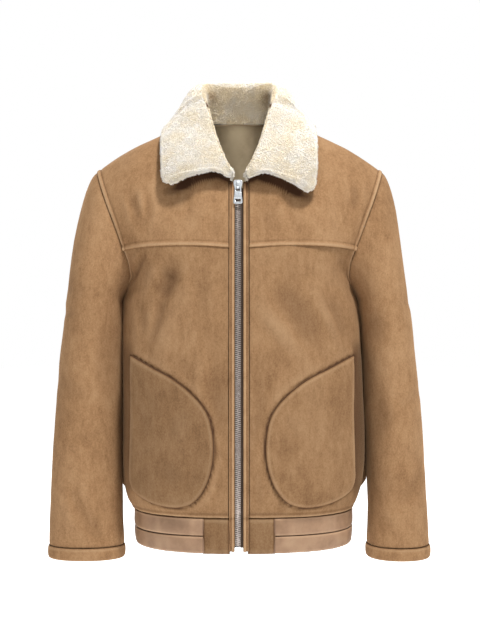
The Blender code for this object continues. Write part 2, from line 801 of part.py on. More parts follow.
def seam_on_neck(side, along):
    """The neck seam and the level way in from it. along is 0 at the zip, 0.5 at the neck's side
    and 1 at the middle of the back. Between the panels' own columns it runs straight."""
    face = FRONT if along <= 0.5 else BACK
    shares = (0.0,) + ((FRONT_START,) + NECK_SHARES if face == FRONT else BACK_SHARES[1:5])
    share = NECK_SHARE * (along * 2 if face == FRONT else 2 - along * 2)
    k = min(len(shares) - 2, max(0, int(np.searchsorted(shares, share, side="right")) - 1))
    part = (share - shares[k]) / (shares[k + 1] - shares[k])
    points = [top_edge(side, face, shares[k + n]) for n in (0, 1)]
    seam = points[0] * (1 - part) + points[1] * part
    depth = NECK_FRONT_Y if face == FRONT else NECK_BACK_Y
    return seam, unit((-seam[0] / NECK_HALF**2, -seam[1] / depth**2, 0.0))


def collar_stations():
    """Places along the half collar, at the panels' own columns with the front end added."""
    front = [tab_share(COLLAR_START_X), FRONT_START] + list(NECK_SHARES)
    back = sorted(BACK_SHARES[:4], reverse=True)
    plain = [s / NECK_SHARE / 2 for s in front] + [1 - s / NECK_SHARE / 2 for s in back]
    stations = []
    for here, after in zip(plain, plain[1:]):
        stations.append(here)
        if COLLAR_FINE_FROM < (here + after) / 2 < COLLAR_FINE_TO:
            stations.append((here + after) / 2)
    return stations + plain[-1:]


def collar_section(side, along):
    """The fur side of one section, from the neck seam up, over the roll and down the fall."""
    at = {name: read_table(COLLAR, COLLAR_COLUMNS, name, along) for name in COLLAR_COLUMNS[1:]}
    roll = np.array([side * at["roll_x"], at["roll_y"], at["roll_z"]])
    drop = COLLAR_LEFT_DROP * (1 - smooth(0.0, 0.24, along)) if side == LEFT else 0.0
    edge = np.array([side * at["edge_x"], at["edge_y"], at["edge_z"] - drop])
    stand_pull, fall_pull = at["stand_pull"], at["fall_pull"]
    seam, way_in = seam_on_neck(side, along)
    base = seam + way_in * (STAND_WALL - COLLAR_OVERHANG) + np.array([0.0, 0.0, COLLAR_SEAM_LIFT])
    up = unit(np.array([0.0, 0.0, 1.0]) + way_in * 0.12)
    outward = unit((edge - base) * np.array([1.0, 1.0, 0.0]))
    fall_way = unit(edge - roll + np.array([0.0, 0.0, -0.5]) * np.linalg.norm(edge - roll))
    half = COLLAR_STEPS // 2
    points = []
    for k in range(half):
        points.append(hermite(base, roll, up * stand_pull, outward * stand_pull, k / half))
    for k in range(half + 1):
        points.append(hermite(roll, edge, outward * fall_pull, fall_way * fall_pull, k / half))
    return points, way_in


def collar_walls():
    """The wall at each step: thinnest over the roll, full down the fall."""
    half = COLLAR_STEPS // 2
    return [
        ROLL_WALL
        + (STAND_WALL - ROLL_WALL) * smooth(half, half - 5, j)
        + (COLLAR_WALL - ROLL_WALL) * smooth(half, half + 6, j)
        for j in range(COLLAR_STEPS + 1)
    ]


def grid_of_normals(fur, ways_in):
    """The fur side's outward directions. By the neck seam they turn level."""
    rows, steps = len(fur), len(fur[0])
    found = []
    for i in range(rows):
        before, after = fur[max(0, i - 1)], fur[min(rows - 1, i + 1)]
        normals = []
        for j in range(steps):
            along = after[j] - before[j]
            down = fur[i][min(steps - 1, j + 1)] - fur[i][max(0, j - 1)]
            normals.append(unit(np.cross(along, down)))
        for j in (0, 1, 2):
            normals[j] = unit(ways_in[i] * (1 - j / 3) + normals[j] * j / 3)
        found.append(normals)
    return found


def rest_on_body(fur, ways_in, body):
    """Lifts the fall until its under side lies just clear of the shoulders and the chest."""
    graph = bpy.context.evaluated_depsgraph_get()
    trees = [BVHTree.FromObject(obj, graph) for obj in body]
    walls = collar_walls()
    rests = [COLLAR_REST] * COLLAR_STEPS + [COLLAR_TIP_REST]
    for _ in range(COLLAR_ROUNDS):
        lifted = []
        for row, normals in zip(fur, grid_of_normals(fur, ways_in)):
            new_row = list(row)
            for j in range(COLLAR_FREE_STEPS, len(row)):
                reach = COLLAR_LOOK_OUT + walls[j] + rests[j]
                start = Vector((row[j] + normals[j] * COLLAR_LOOK_OUT) * MM)
                hits = [tree.ray_cast(start, Vector(-normals[j]), reach * MM)[3] for tree in trees]
                near = [hit / MM for hit in hits if hit is not None]
                lift = reach - min(near) if near else 0.0
                new_row[j] = row[j] + normals[j] * lift
            lifted.append(new_row)
        fur = lifted
    return fur


def make_collar(shearling, body):
    stations = collar_stations()
    sections = [collar_section(RIGHT, s) for s in stations]
    sections += [collar_section(LEFT, s) for s in reversed(stations[:-1])]
    ways_in = [section[1] for section in sections]
    fur = rest_on_body([section[0] for section in sections], ways_in, body)
    all_normals = grid_of_normals(fur, ways_in)
    rows = len(fur)
    walls = collar_walls()
    loops = []
    for i in range(rows):
        normals = all_normals[i]
        tip_way = unit(fur[i][-1] - fur[i][-2])
        fur_side = fur[i][:-1]
        under = [p - n * wall for p, n, wall in zip(fur[i], normals, walls)][:-1]
        middle = fur[i][-1] - normals[-1] * COLLAR_WALL / 2
        tip = [
            middle + normals[-1] * COLLAR_WALL / 2 * math.cos(a)
            + tip_way * COLLAR_TIP_ROUND * math.sin(a)
            for a in (math.radians(d) for d in (20, 65, 115, 160))
        ]
        loops.append(fur_side + tip + list(reversed(under)))
    for end in (0, -1):
        middles = [(a + b) / 2 for a, b in zip(loops[end], reversed(loops[end]))]
        push = np.array([COLLAR_END_CAP if end == 0 else -COLLAR_END_CAP, 0.0, 0.0])
        cap = [m + (p - m) * COLLAR_END_SHARE + push for m, p in zip(middles, loops[end])]
        if end == 0:
            loops.insert(0, cap)
        else:
            loops.append(cap)
    count = len(loops[0])
    points = [p for loop in loops for p in loop]
    faces = []
    for i in range(len(loops) - 1):
        for j in range(count):
            a, b = i * count + j, i * count + (j + 1) % count
            faces.append((a, b, b + count, a + count))
    for start in (0, (len(loops) - 1) * count):
        for j in range(count // 2 - 1):
            a, b = start + j, start + j + 1
            c, d = start + count - 2 - j, start + count - 1 - j
            faces.append((a, b, c, d) if b != c else (a, b, d))
    return add_object("collar", points, faces, shearling)


# Pockets.


def share_of_x(side, z, x):
    """The share of the front at which the ring passes x."""
    half, _, last = ring_shape(side, FRONT, z)
    if x <= NECK_HALF:
        return tab_share(x)
    first = turn_of_x(half, NECK_HALF)
    return NECK_SHARE + (1 - NECK_SHARE) * (turn_of_x(half, x) - first) / (last - first)


def closed_curve(points, count):
    """Evenly many points on a smooth closed curve through these."""
    found = []
    total = len(points)
    for k in range(count):
        at = k * total / count
        i, t = int(at), at - int(at)
        a, b, c, d = (np.array(points[(i + n) % total]) for n in (-1, 0, 1, 2))
        found.append(hermite(b, c, (c - a) / 2, (d - b) / 2, t))
    return found


def make_pocket(side, suede, front_object):
    """A patch on the front's own points, moved out, with a rounded edge and a slight puff."""
    outline = closed_curve(POCKET, 30)
    middle = sum(outline) / len(outline)
    rings, low_rings = [], []
    front = BVHTree.FromObject(front_object, bpy.context.evaluated_depsgraph_get())

    def place(spot, rise):
        x, z = spot[0] * POCKET_REACH[side], spot[1]
        share = min(0.985, share_of_x(side, z, x))
        point = ring_point(side, FRONT, share, z)
        normal = ring_normal(side, FRONT, share, z)
        above = (point + normal * 20.0) * MM
        hit = front.ray_cast(Vector(above), Vector(-normal))[0]
        return np.array(hit) / MM + normal * rise

    for size, low_rise, top_rise in POCKET_RINGS:
        top, low = [], []
        for spot in outline:
            at = middle + (spot - middle) * size
            low.append(place(at, POCKET_LIFT + low_rise))
            top.append(place(at, POCKET_LIFT + top_rise))
        rings.append(top)
        low_rings.append(low)
    count = len(outline)
    points = [p for ring in rings for p in ring] + [place(middle, POCKET_LIFT + top_rise)]
    crown = len(points) - 1
    lift = len(points)
    points += [p for ring in low_rings for p in ring] + [place(middle, POCKET_LIFT + low_rise)]
    faces = []
    for base in (0, lift):
        for i in range(len(rings) - 1):
            for j in range(count):
                a, b = base + i * count + j, base + i * count + (j + 1) % count
                faces.append((a, b, b + count, a + count))
        last = base + (len(rings) - 1) * count
        for j in range(count):
            faces.append((last + j, last + (j + 1) % count, base + crown))
    for j in range(count):
        faces.append((j, (j + 1) % count, lift + (j + 1) % count, lift + j))
    return add_object("pocket_" + SIDE_NAMES[side], points, faces, suede)


# Front edges and zip.


def centre_rows():
    """Rows from the hem's edge up to the neck, for what runs beside the zip."""
    rows = [("ring", z) for z in (HEM_Z, -677.0, BAND_SEAM_Z, -650.0, HEM_SEAM_Z)]
    rows += [("ring", float(z)) for z in BODY_HEIGHTS] + [("ring", -250.0)]
    return rows + [("upper", 0.0)] + [("upper", rise) for rise in YOKE_RISES]


def strip_between(side, low_x, high_x, top_depth, low_depth, rows, proud=None):
    """A long strip by the zip, between two depths under the front's surface."""
    outer, inner = [], []
    xs = [low_x, (low_x + high_x) / 2, high_x]
    for row in rows:
        outer_row, inner_row = [], []
        for k, x in enumerate(xs):
            share = max(0.0, tab_share(abs(x)))
            point = surface_point(side, FRONT, share, row)
            point[0] = x
            normal = surface_normal(side, FRONT, max(share, FRONT_START), row)
            normal = unit((0.0, normal[1], normal[2]))
            up = proud[k] if proud else 0.0
            outer_row.append(point - normal * (top_depth - up))
            inner_row.append(point - normal * low_depth)
        outer.append(outer_row)
        inner.append(inner_row)
    return outer, inner


def make_front_edge(side, suede):
    outer, inner = strip_between(
        side, side * EDGE_IN_X, side * (EDGE_OUT_X - SEAM_GAP / 2), 0.0, EDGE_WALL,
        centre_rows(), (-0.4, 1.0, 0.2),
    )
    draw_in(outer, inner, ("high",))
    return wall_object("front_edge_" + SIDE_NAMES[side], outer, inner, suede)


def rows_between(low_z, keep_top):
    """The centre rows from a height up, and without the last rows if keep_top says so."""
    rows = [("ring", low_z)] + [r for r in centre_rows() if r[0] == "upper" or r[1] > low_z + 2]
    return rows[: len(rows) - 1] + [("upper", keep_top)]


def make_tape(side, tape):
    inner_x = ZIP_X + side * SEAM_GAP / 2
    outer, inner = strip_between(
        side, inner_x, side * TAPE_OUT_X, TAPE_TOP_DEPTH, TAPE_LOW_DEPTH,
        rows_between(BOX_LOW_Z, 0.985),
    )
    return wall_object("zip_tape_" + SIDE_NAMES[side], outer, inner, tape)


def make_chain(metal):
    outer, inner = strip_between(
        RIGHT, ZIP_X - CHAIN_HALF, ZIP_X + CHAIN_HALF, CHAIN_TOP_DEPTH, CHAIN_LOW_DEPTH,
        rows_between(BOX_HIGH_Z + SEAM_GAP, 0.99),
    )
    return wall_object("zip_chain", outer, inner, metal)


def add_block(name, low, high, bevel, material):
    """A box with rounded edges, in the object's own axes."""
    work = bmesh.new()
    bmesh.ops.create_cube(work, size=1.0)
    low, high = np.array(low) * MM, np.array(high) * MM
    for vert in work.verts:
        vert.co = [
            low[k] + (vert.co[k] + 0.5) * (high[k] - low[k]) for k in range(3)
        ]
    mesh = bpy.data.meshes.new(name)
    work.to_mesh(mesh)
    work.free()
    mesh.materials.append(material)
    obj = bpy.data.objects.new(name, mesh)
    bpy.context.scene.collection.objects.link(obj)
    if bevel:
        rounding = obj.modifiers.new("rounding", "BEVEL")
        rounding.width = bevel * MM
        rounding.segments = 2
    return obj


def boolean(obj, other, operation):
    other.hide_render = True
    other.display_type = "WIRE"
    cut = obj.modifiers.new(operation.lower(), "BOOLEAN")
    cut.operation = operation
    cut.object = other
    cut.solver = "EXACT"


def zip_frame(z):
    """A spot on the front's middle line and the tilt of the front there."""
    low_z = seam_height(FRONT, 0.0)
    low_rise, high_rise = 0.0, 1.0
    for _ in range(30):
        middle = (low_rise + high_rise) / 2
        if upper_point(RIGHT, FRONT, 0.0, middle)[2] < z:
            low_rise = middle
        else:
            high_rise = middle
    spot = upper_point(RIGHT, FRONT, 0.0, middle)
    above = upper_point(RIGHT, FRONT, 0.0, min(1.0, middle + 0.03))
    below = upper_point(RIGHT, FRONT, 0.0, middle - 0.03)
    way = unit(above - below)
    return np.array([ZIP_X, spot[1], z]), math.atan2(way[1], way[2])


def make_zip_ends(silver):
    """The end box, the slider with its bridge, and the pull on its own hinge."""
    spot = ring_point(RIGHT, FRONT, 0.0, BOX_LOW_Z)
    add_block(
        "zip_end_box",
        (ZIP_X - CHAIN_HALF, spot[1] - 2.0, BOX_LOW_Z),
        (ZIP_X + CHAIN_HALF, spot[1] + 1.9, BOX_HIGH_Z),
        0.5,
        silver,
    )
    at, tilt = zip_frame(SLIDER_Z)
    frame = bpy.data.objects.new("slider_place", None)
    bpy.context.scene.collection.objects.link(frame)
    frame.location = [v * MM for v in at]
    frame.rotation_euler = (-tilt, 0.0, 0.0)
    half = SLIDER_LENGTH / 2
    slider = add_block("zip_slider", (-SLIDER_HALF, -3.2, -half), (SLIDER_HALF, -1.3, half), 0.7,
                       silver)
    core = add_block("slider_core", (-4.0, -1.6, -half + 1), (4.0, 0.5, half - 1), 0.0, silver)
    arch = add_block("slider_arch", (-1.6, -7.6, -7.0), (1.6, -2.6, 5.0), 0.6, silver)
    eye = add_block("slider_eye", (-3.0, -6.4, -5.6), (3.0, -3.2, 3.6), 0.0, silver)
    for piece, operation in ((core, "UNION"), (arch, "UNION"), (eye, "DIFFERENCE")):
        piece.parent = frame
        boolean(slider, piece, operation)
    slider.parent = frame

    pivot = bpy.data.objects.new("pull_hinge", None)
    bpy.context.scene.collection.objects.link(pivot)
    pivot.parent = frame
    pivot.location = (0.0, -HINGE_OUT * MM, -HINGE_LOW * MM)
    pull = make_pull(silver)
    pull.parent = pivot


def make_pull(silver):
    """A flat tab that widens downwards, with an eye for the bridge and a small window."""
    outline = [
        (-PULL_TOP_HALF, 1.0), (PULL_TOP_HALF, 1.0), (PULL_TOP_HALF, -9.0),
        (PULL_LOW_HALF, -PULL_LENGTH + 5.0), (PULL_LOW_HALF, -PULL_LENGTH + 1.5),
        (PULL_LOW_HALF - 1.5, -PULL_LENGTH), (-PULL_LOW_HALF + 1.5, -PULL_LENGTH),
        (-PULL_LOW_HALF, -PULL_LENGTH + 1.5), (-PULL_LOW_HALF, -PULL_LENGTH + 5.0),
        (-PULL_TOP_HALF, -9.0),
    ]
    work = bmesh.new()
    verts = [work.verts.new((x * MM, -PULL_THICK / 2 * MM, z * MM)) for x, z in outline]
    face = work.faces.new(verts)
    made = bmesh.ops.extrude_face_region(work, geom=[face])
    moved = [v for v in made["geom"] if isinstance(v, bmesh.types.BMVert)]
    bmesh.ops.translate(work, verts=moved, vec=(0.0, PULL_THICK * MM, 0.0))
    bmesh.ops.recalc_face_normals(work, faces=work.faces[:])
    mesh = bpy.data.meshes.new("zip_pull")
    work.to_mesh(mesh)
    work.free()
    mesh.materials.append(silver)
    pull = bpy.data.objects.new("zip_pull", mesh)
    bpy.context.scene.collection.objects.link(pull)
    eye = add_block("pull_eye", (-3.1, -3.0, -8.2), (3.1, 3.0, -0.75), 0.0, silver)
    window = add_block("pull_window", (-4.3, -3.0, -26.0), (4.3, 3.0, -21.4), 0.0, silver)
    for cutter in (eye, window):
        cutter.parent = pull
        boolean(pull, cutter, "DIFFERENCE")
    return pull


# Neck lining.


def make_neck_lining(lining):
    """The smooth sheet inside the back of the neck, which shows in the collar's opening."""
    rows = [("upper", rise) for rise in YOKE_RISES[2:]]
    halves = []
    for side in (RIGHT, LEFT):
        outer, inner = panel_grids(
            side, BACK, BACK_SHARES[:5], rows, None, LINING_WALL, -WALL - LINING_LIFT
        )
        draw_in(outer, inner, ("high", "far"), LINING_SHORT)
        halves.append((outer, inner))
    outer, inner = (
        [list(reversed(a)) + b[1:] for a, b in zip(halves[0][k], halves[1][k])] for k in (0, 1)
    )
    return wall_object("neck_lining", outer, inner, lining)


def main():
    for obj in list(bpy.data.objects):
        bpy.data.objects.remove(obj, do_unlink=True)
    suede = make_material("suede", SUEDE, 0.9)
    deep_suede = make_material("suede_low", SUEDE_DEEP, 0.9)
    leather = make_material("smooth_leather", SMOOTH_LEATHER, 0.6)
    shearling = make_material("shearling", SHEARLING, 0.95)
    lining = make_material("neck_lining_leather", LINING, 0.75)
    tape = make_material("zip_tape", DARK_TAPE, 0.85)
    chain = make_material("zip_metal", BRASS_GREY, 0.4, 1.0)
    silver = make_material("slider_metal", SILVER, 0.3, 1.0)
    body = []
    for side in (RIGHT, LEFT):
        front = make_front(side, suede)
        yoke = make_yoke(side, suede)
        body.append(yoke)
        make_sleeve(side, suede)
        make_cuff(side, suede)
        make_pocket(side, deep_suede, front)
        make_tab(side, suede)
        make_front_edge(side, suede)
        make_tape(side, tape)
    body.append(make_back(suede))
    make_band("hem_band_upper", BAND_SEAM_Z + SEAM_GAP / 2, HEM_SEAM_Z - SEAM_GAP / 2, leather)
    make_band("hem_band_lower", HEM_Z, BAND_SEAM_Z - SEAM_GAP / 2, leather)
    make_collar(shearling, body)
    make_chain(chain)
    make_zip_ends(silver)
    make_neck_lining(lining)


main()
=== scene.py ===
import json
import math

import bmesh
import bpy
import numpy as np
from mathutils import Matrix, Vector
from mathutils.bvhtree import BVHTree

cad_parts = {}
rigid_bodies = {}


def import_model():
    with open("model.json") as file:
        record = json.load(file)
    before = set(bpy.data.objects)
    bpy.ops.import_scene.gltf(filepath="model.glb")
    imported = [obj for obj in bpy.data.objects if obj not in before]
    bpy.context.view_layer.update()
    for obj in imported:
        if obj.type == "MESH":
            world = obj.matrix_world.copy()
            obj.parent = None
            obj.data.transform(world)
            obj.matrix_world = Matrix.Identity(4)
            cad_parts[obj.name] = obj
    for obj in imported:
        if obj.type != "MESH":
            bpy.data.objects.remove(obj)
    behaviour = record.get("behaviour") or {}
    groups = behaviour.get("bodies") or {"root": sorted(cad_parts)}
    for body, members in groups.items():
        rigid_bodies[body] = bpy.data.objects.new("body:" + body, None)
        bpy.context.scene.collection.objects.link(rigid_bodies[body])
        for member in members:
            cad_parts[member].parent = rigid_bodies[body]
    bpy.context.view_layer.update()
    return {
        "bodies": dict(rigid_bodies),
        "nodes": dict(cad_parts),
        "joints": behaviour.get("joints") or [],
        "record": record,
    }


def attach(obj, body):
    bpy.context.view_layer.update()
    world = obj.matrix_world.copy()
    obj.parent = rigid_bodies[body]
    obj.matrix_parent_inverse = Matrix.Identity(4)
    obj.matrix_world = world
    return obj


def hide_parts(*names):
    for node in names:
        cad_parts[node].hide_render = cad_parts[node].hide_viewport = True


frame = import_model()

mm = 0.001
right, left = -1, 1  # the wearer's own sides
front, back = -1, 1
sideNames = {right: "right", left: "left"}
faceNames = {front: "front", back: "back"}
rng = np.random.default_rng(7)


# Plain maths for curves and tables

def unit(vectors):
    vectors = np.asarray(vectors, float)
    return vectors / np.maximum(np.linalg.norm(vectors, axis=-1, keepdims=True), 1e-9)


def smooth(low, high, value):
    share = np.clip((np.asarray(value, float) - low) / (high - low), 0.0, 1.0)
    return share * share * (3 - 2 * share)


def hermite(start, end, leave, arrive, t):
    t2, t3 = t * t, t * t * t
    return (
        (2 * t3 - 3 * t2 + 1) * start + (t3 - 2 * t2 + t) * leave
        + (3 * t2 - 2 * t3) * end + (t3 - t2) * arrive
    )


def makeTable(names, rows):
    rows = np.array(sorted(rows), float)
    keys = rows[:, 0]
    table = {}
    for k, name in enumerate(names[1:], 1):
        values = rows[:, k]
        slopes = np.empty(len(keys))
        slopes[1:-1] = (values[2:] - values[:-2]) / (keys[2:] - keys[:-2])
        slopes[0] = (values[1] - values[0]) / (keys[1] - keys[0])
        slopes[-1] = (values[-1] - values[-2]) / (keys[-1] - keys[-2])
        table[name] = (keys, values, slopes)
    return table


def read(table, name, at):
    keys, values, slopes = table[name]
    at = np.clip(at, keys[0], keys[-1])
    i = np.clip(np.searchsorted(keys, at, side="right") - 1, 0, len(keys) - 2)
    span = keys[i + 1] - keys[i]
    return hermite(values[i], values[i + 1], slopes[i] * span, slopes[i + 1] * span,
                   (at - keys[i]) / span)


def stack(x, y, z):
    x, y, z = np.broadcast_arrays(x, y, z)
    return np.stack([x, y, z], axis=-1).astype(float)


def lattice(points, scale, seed):
    # smooth random values from -1 to 1 on a cubic lattice
    at = np.asarray(points, float) / scale + seed * 17.31
    cell = np.floor(at).astype(np.int64)
    part = at - cell
    part = part * part * (3 - 2 * part)

    def corner(dx, dy, dz):
        n = (cell[..., 0] + dx) * 374761393 + (cell[..., 1] + dy) * 668265263
        n = n + (cell[..., 2] + dz) * 2147483647 + seed * 974711
        n = (n ^ (n >> 13)) * 1274126177
        n = n ^ (n >> 16)
        return (n & 65535) / 32767.5 - 1.0

    total = 0.0
    for dx in (0, 1):
        for dy in (0, 1):
            for dz in (0, 1):
                weight = (part[..., 0] if dx else 1 - part[..., 0])
                weight = weight * (part[..., 1] if dy else 1 - part[..., 1])
                weight = weight * (part[..., 2] if dz else 1 - part[..., 2])
                total = total + weight * corner(dx, dy, dz)
    return total


# The jacket's form: the same rings, seams and edges as the solid part, in millimetres

cut = {
    "wall": 5.5, "liningLift": 1.1,
    "hemZ": -691.0, "bandSeamZ": -664.0, "hemSeamZ": -636.0, "yokeSeamZ": -219.0,
    "yokeSeamArch": 4.5, "armpitZ": -282.0, "shoulderZ": -88.0, "neckFrontZ": -118.0,
    "cuffSeamZ": -695.0, "cuffHemZ": -716.0, "edgeInX": 6.1, "edgeOutX": 15.55,
    "neckHalf": 75.0, "neckFrontY": -95.0, "neckBackY": 70.0, "neckBackZ": 2.0,
    "tabX": 54.0, "squareness": 0.78, "sleeveSquareness": 0.92, "neckShare": 0.4,
    "zipX": -1.5,
}
shoulderHalf = {right: 233.0, left: 235.0}
armDepth = {front: 65.0, back: 68.0}
torso = makeTable(("z", "right", "left", "front", "back"), (
    (-691.0, 168.0, 183.0, 129.0, 122.0), (-664.0, 170.0, 185.0, 132.0, 124.0),
    (-637.0, 171.0, 185.5, 133.0, 124.5), (-622.0, 180.0, 193.0, 139.0, 129.0),
    (-590.0, 187.0, 200.5, 141.5, 131.0), (-520.0, 188.5, 203.5, 140.0, 130.0),
    (-450.0, 188.5, 202.0, 137.5, 128.0), (-370.0, 187.5, 198.0, 134.0, 125.0),
    (-310.0, 183.5, 191.0, 129.5, 122.0), (-282.0, 177.0, 181.5, 126.0, 120.0),
    (-260.0, 174.0, 177.0, 123.0, 118.5), (-240.0, 176.0, 178.0, 120.5, 117.0),
    (-219.0, 183.5, 185.5, 118.0, 115.0), (-179.0, 198.5, 200.5, 112.0, 112.0),
    (-136.0, 215.5, 217.5, 101.0, 106.0), (-88.0, 233.0, 235.0, 88.0, 96.0),
))
sleeveNames = ("z", "inner", "outer", "middleY", "halfDepth")
sleeveTable = {
    right: makeTable(sleeveNames, (
        (-304.0, 192.0, 283.0, -6.0, 77.0), (-335.0, 191.5, 286.0, -8.0, 75.0),
        (-395.0, 190.5, 293.0, -12.0, 69.0), (-460.0, 190.5, 297.5, -17.0, 63.0),
        (-525.0, 190.5, 302.0, -21.0, 58.0), (-590.0, 190.5, 305.5, -24.0, 53.0),
        (-650.0, 190.0, 308.0, -26.0, 48.0), (-695.0, 187.0, 308.5, -27.0, 44.0),
    )),
    left: makeTable(sleeveNames, (
        (-304.0, 195.0, 278.0, -6.0, 77.0), (-335.0, 199.0, 283.0, -8.0, 75.0),
        (-395.0, 202.0, 289.0, -11.0, 71.0), (-460.0, 204.5, 295.5, -14.0, 67.0),
        (-525.0, 208.0, 300.5, -17.0, 63.0), (-590.0, 210.0, 304.0, -19.0, 59.0),
        (-650.0, 210.5, 308.0, -20.0, 55.0), (-695.0, 209.0, 310.0, -21.0, 52.0),
    )),
}


def armAngle(z):
    middle, half = (cut["armpitZ"] + cut["shoulderZ"]) / 2, (cut["shoulderZ"] - cut["armpitZ"]) / 2
    return np.arcsin(np.clip((np.asarray(z, float) - middle) / half, -1.0, 1.0))


def armHeight(angle):
    middle, half = (cut["armpitZ"] + cut["shoulderZ"]) / 2, (cut["shoulderZ"] - cut["armpitZ"]) / 2
    return middle + half * np.sin(angle)


def armholePoint(side, face, angle):
    z = armHeight(angle)
    return stack(side * read(torso, sideNames[side], z), face * armDepth[face] * np.cos(angle), z)


def ringShape(side, face, z):
    edgeX = read(torso, sideNames[side], z)
    depth = read(torso, faceNames[face], z)
    edgeY = np.where(z > cut["armpitZ"], armDepth[face] * np.cos(armAngle(z)), 0.0)
    turn = np.arccos((edgeY / depth) ** (1 / cut["squareness"]))
    return edgeX / np.sin(turn) ** cut["squareness"], depth, turn


def turnOfX(half, x):
    return np.arcsin(np.clip((x / half) ** (1 / cut["squareness"]), 0.0, 1.0))


def ringPoint(side, face, share, z):
    share, z = np.broadcast_arrays(np.asarray(share, float), np.asarray(z, float))
    half, depth, last = ringShape(side, face, z)
    startX = cut["edgeInX"] if face == front else 0.0
    inside = np.clip(share / cut["neckShare"], None, 1.0)
    near = turnOfX(half, np.maximum(startX + (cut["neckHalf"] - startX) * inside, 0.0))
    first = turnOfX(half, cut["neckHalf"])
    far = first + (last - first) * (share - cut["neckShare"]) / (1 - cut["neckShare"])
    turn = np.where(share <= cut["neckShare"], near, far)
    x = half * np.sin(turn) ** cut["squareness"]
    y = depth * np.abs(np.cos(turn)) ** cut["squareness"]
    return stack(side * x, face * y, z)


def topEdge(side, face, share):
    share = np.asarray(share, float)
    startX = cut["edgeInX"] if face == front else 0.0
    x = startX + (cut["neckHalf"] - startX) * np.clip(share / cut["neckShare"], 0.0, 1.0)
    lean = np.cos(np.arcsin(np.clip((x / cut["neckHalf"]) ** (1 / 0.9), 0.0, 1.0)))
    if face == front:
        neck = stack(side * x, cut["neckFrontY"] * lean**0.85, cut["neckFrontZ"] * lean**1.5)
    else:
        neck = stack(side * x, cut["neckBackY"] * lean**0.8, cut["neckBackZ"] * lean)
    out = np.clip((share - cut["neckShare"]) / (1 - cut["neckShare"]), 0.0, 1.0)
    drop = cut["shoulderZ"] * out + 6.0 * np.sin(math.pi * out**1.6)
    shoulder = stack(side * (cut["neckHalf"] + (shoulderHalf[side] - cut["neckHalf"]) * out),
                     0.0, drop)
    return np.where((share <= cut["neckShare"])[..., None], neck, shoulder)


def seamHeight(face, share):
    if face == back:
        return cut["yokeSeamZ"] + 0.0 * np.asarray(share, float)
    return cut["yokeSeamZ"] + cut["yokeSeamArch"] * np.sin(math.pi * np.clip(share, 0.0, 1.0))


def freeUpper(side, face, share, rise):
    lowZ = seamHeight(face, share)
    low = ringPoint(side, face, share, lowZ)
    below = ringPoint(side, face, share, lowZ - 4)
    high = topEdge(side, face, share)
    reach = np.linalg.norm(high - low, axis=-1, keepdims=True)
    across = smooth(0.0, cut["neckShare"], share)[..., None]
    neckWay = np.array([0.0, -face * 0.30, 1.0])
    shoulderWay = stack(0.0, -face, 0.7 * smooth(0.8, cut["neckShare"], share))
    arrive = unit(neckWay * (1 - across) + shoulderWay * across) * reach
    return hermite(low, high, unit(low - below) * reach, arrive, np.asarray(rise)[..., None])


def upperPoint(side, face, share, rise):
    share, rise = np.broadcast_arrays(np.asarray(share, float), np.asarray(rise, float))
    lowAngle = armAngle(float(seamHeight(face, 1.0)))
    edge = armholePoint(side, face, lowAngle + (math.pi / 2 - lowAngle) * rise)
    lead = smooth(0.5, 1.0, share)[..., None]
    ones = np.ones_like(share)
    return freeUpper(side, face, share, rise) + lead * (edge - freeUpper(side, face, ones, rise))


def xShare(x):
    return cut["neckShare"] * (x - cut["edgeInX"]) / (cut["neckHalf"] - cut["edgeInX"])


def shareOfX(side, z, x):
    half, _, last = ringShape(side, front, z)
    first = turnOfX(half, cut["neckHalf"])
    far = cut["neckShare"] + (1 - cut["neckShare"]) * (turnOfX(half, x) - first) / (last - first)
    return np.where(x <= cut["neckHalf"], xShare(x), far)


def sleevePoint(side, face, angle, z, grow=0.0):
    inner, outer, middleY, halfDepth = (
        read(sleeveTable[side], name, z) for name in sleeveNames[1:]
    )
    half = (outer - inner) / 2 + grow
    power = cut["sleeveSquareness"]
    across = np.sign(np.sin(angle)) * np.abs(np.sin(angle)) ** power
    deep = np.sign(np.cos(angle)) * np.abs(np.cos(angle)) ** power
    x = (outer + inner) / 2 + half * across
    return stack(side * x, middleY + face * (halfDepth + grow) * deep, z)


def aroundSleeve(count):
    # once round the armhole: up the front from the armpit, and down the back
    steps = np.arange(count) / count
    angle = np.where(steps < 0.5, -math.pi / 2 + math.pi * steps * 2,
                     math.pi / 2 - math.pi * (steps * 2 - 1))
    return angle, np.where(steps < 0.5, front, back)


def byFace(faces, make):
    fore, aft = make(front), make(back)
    return np.where((faces == front)[..., None], fore, aft)


# Materials: colour, nap and grain are noise on object coordinates, shifted by a point value of wear and painted
# shade

def linear(red, green, blue):
    return tuple(((v / 255 + 0.055) / 1.055) ** 2.4 if v > 10 else v / 3294.6
                 for v in (red, green, blue))


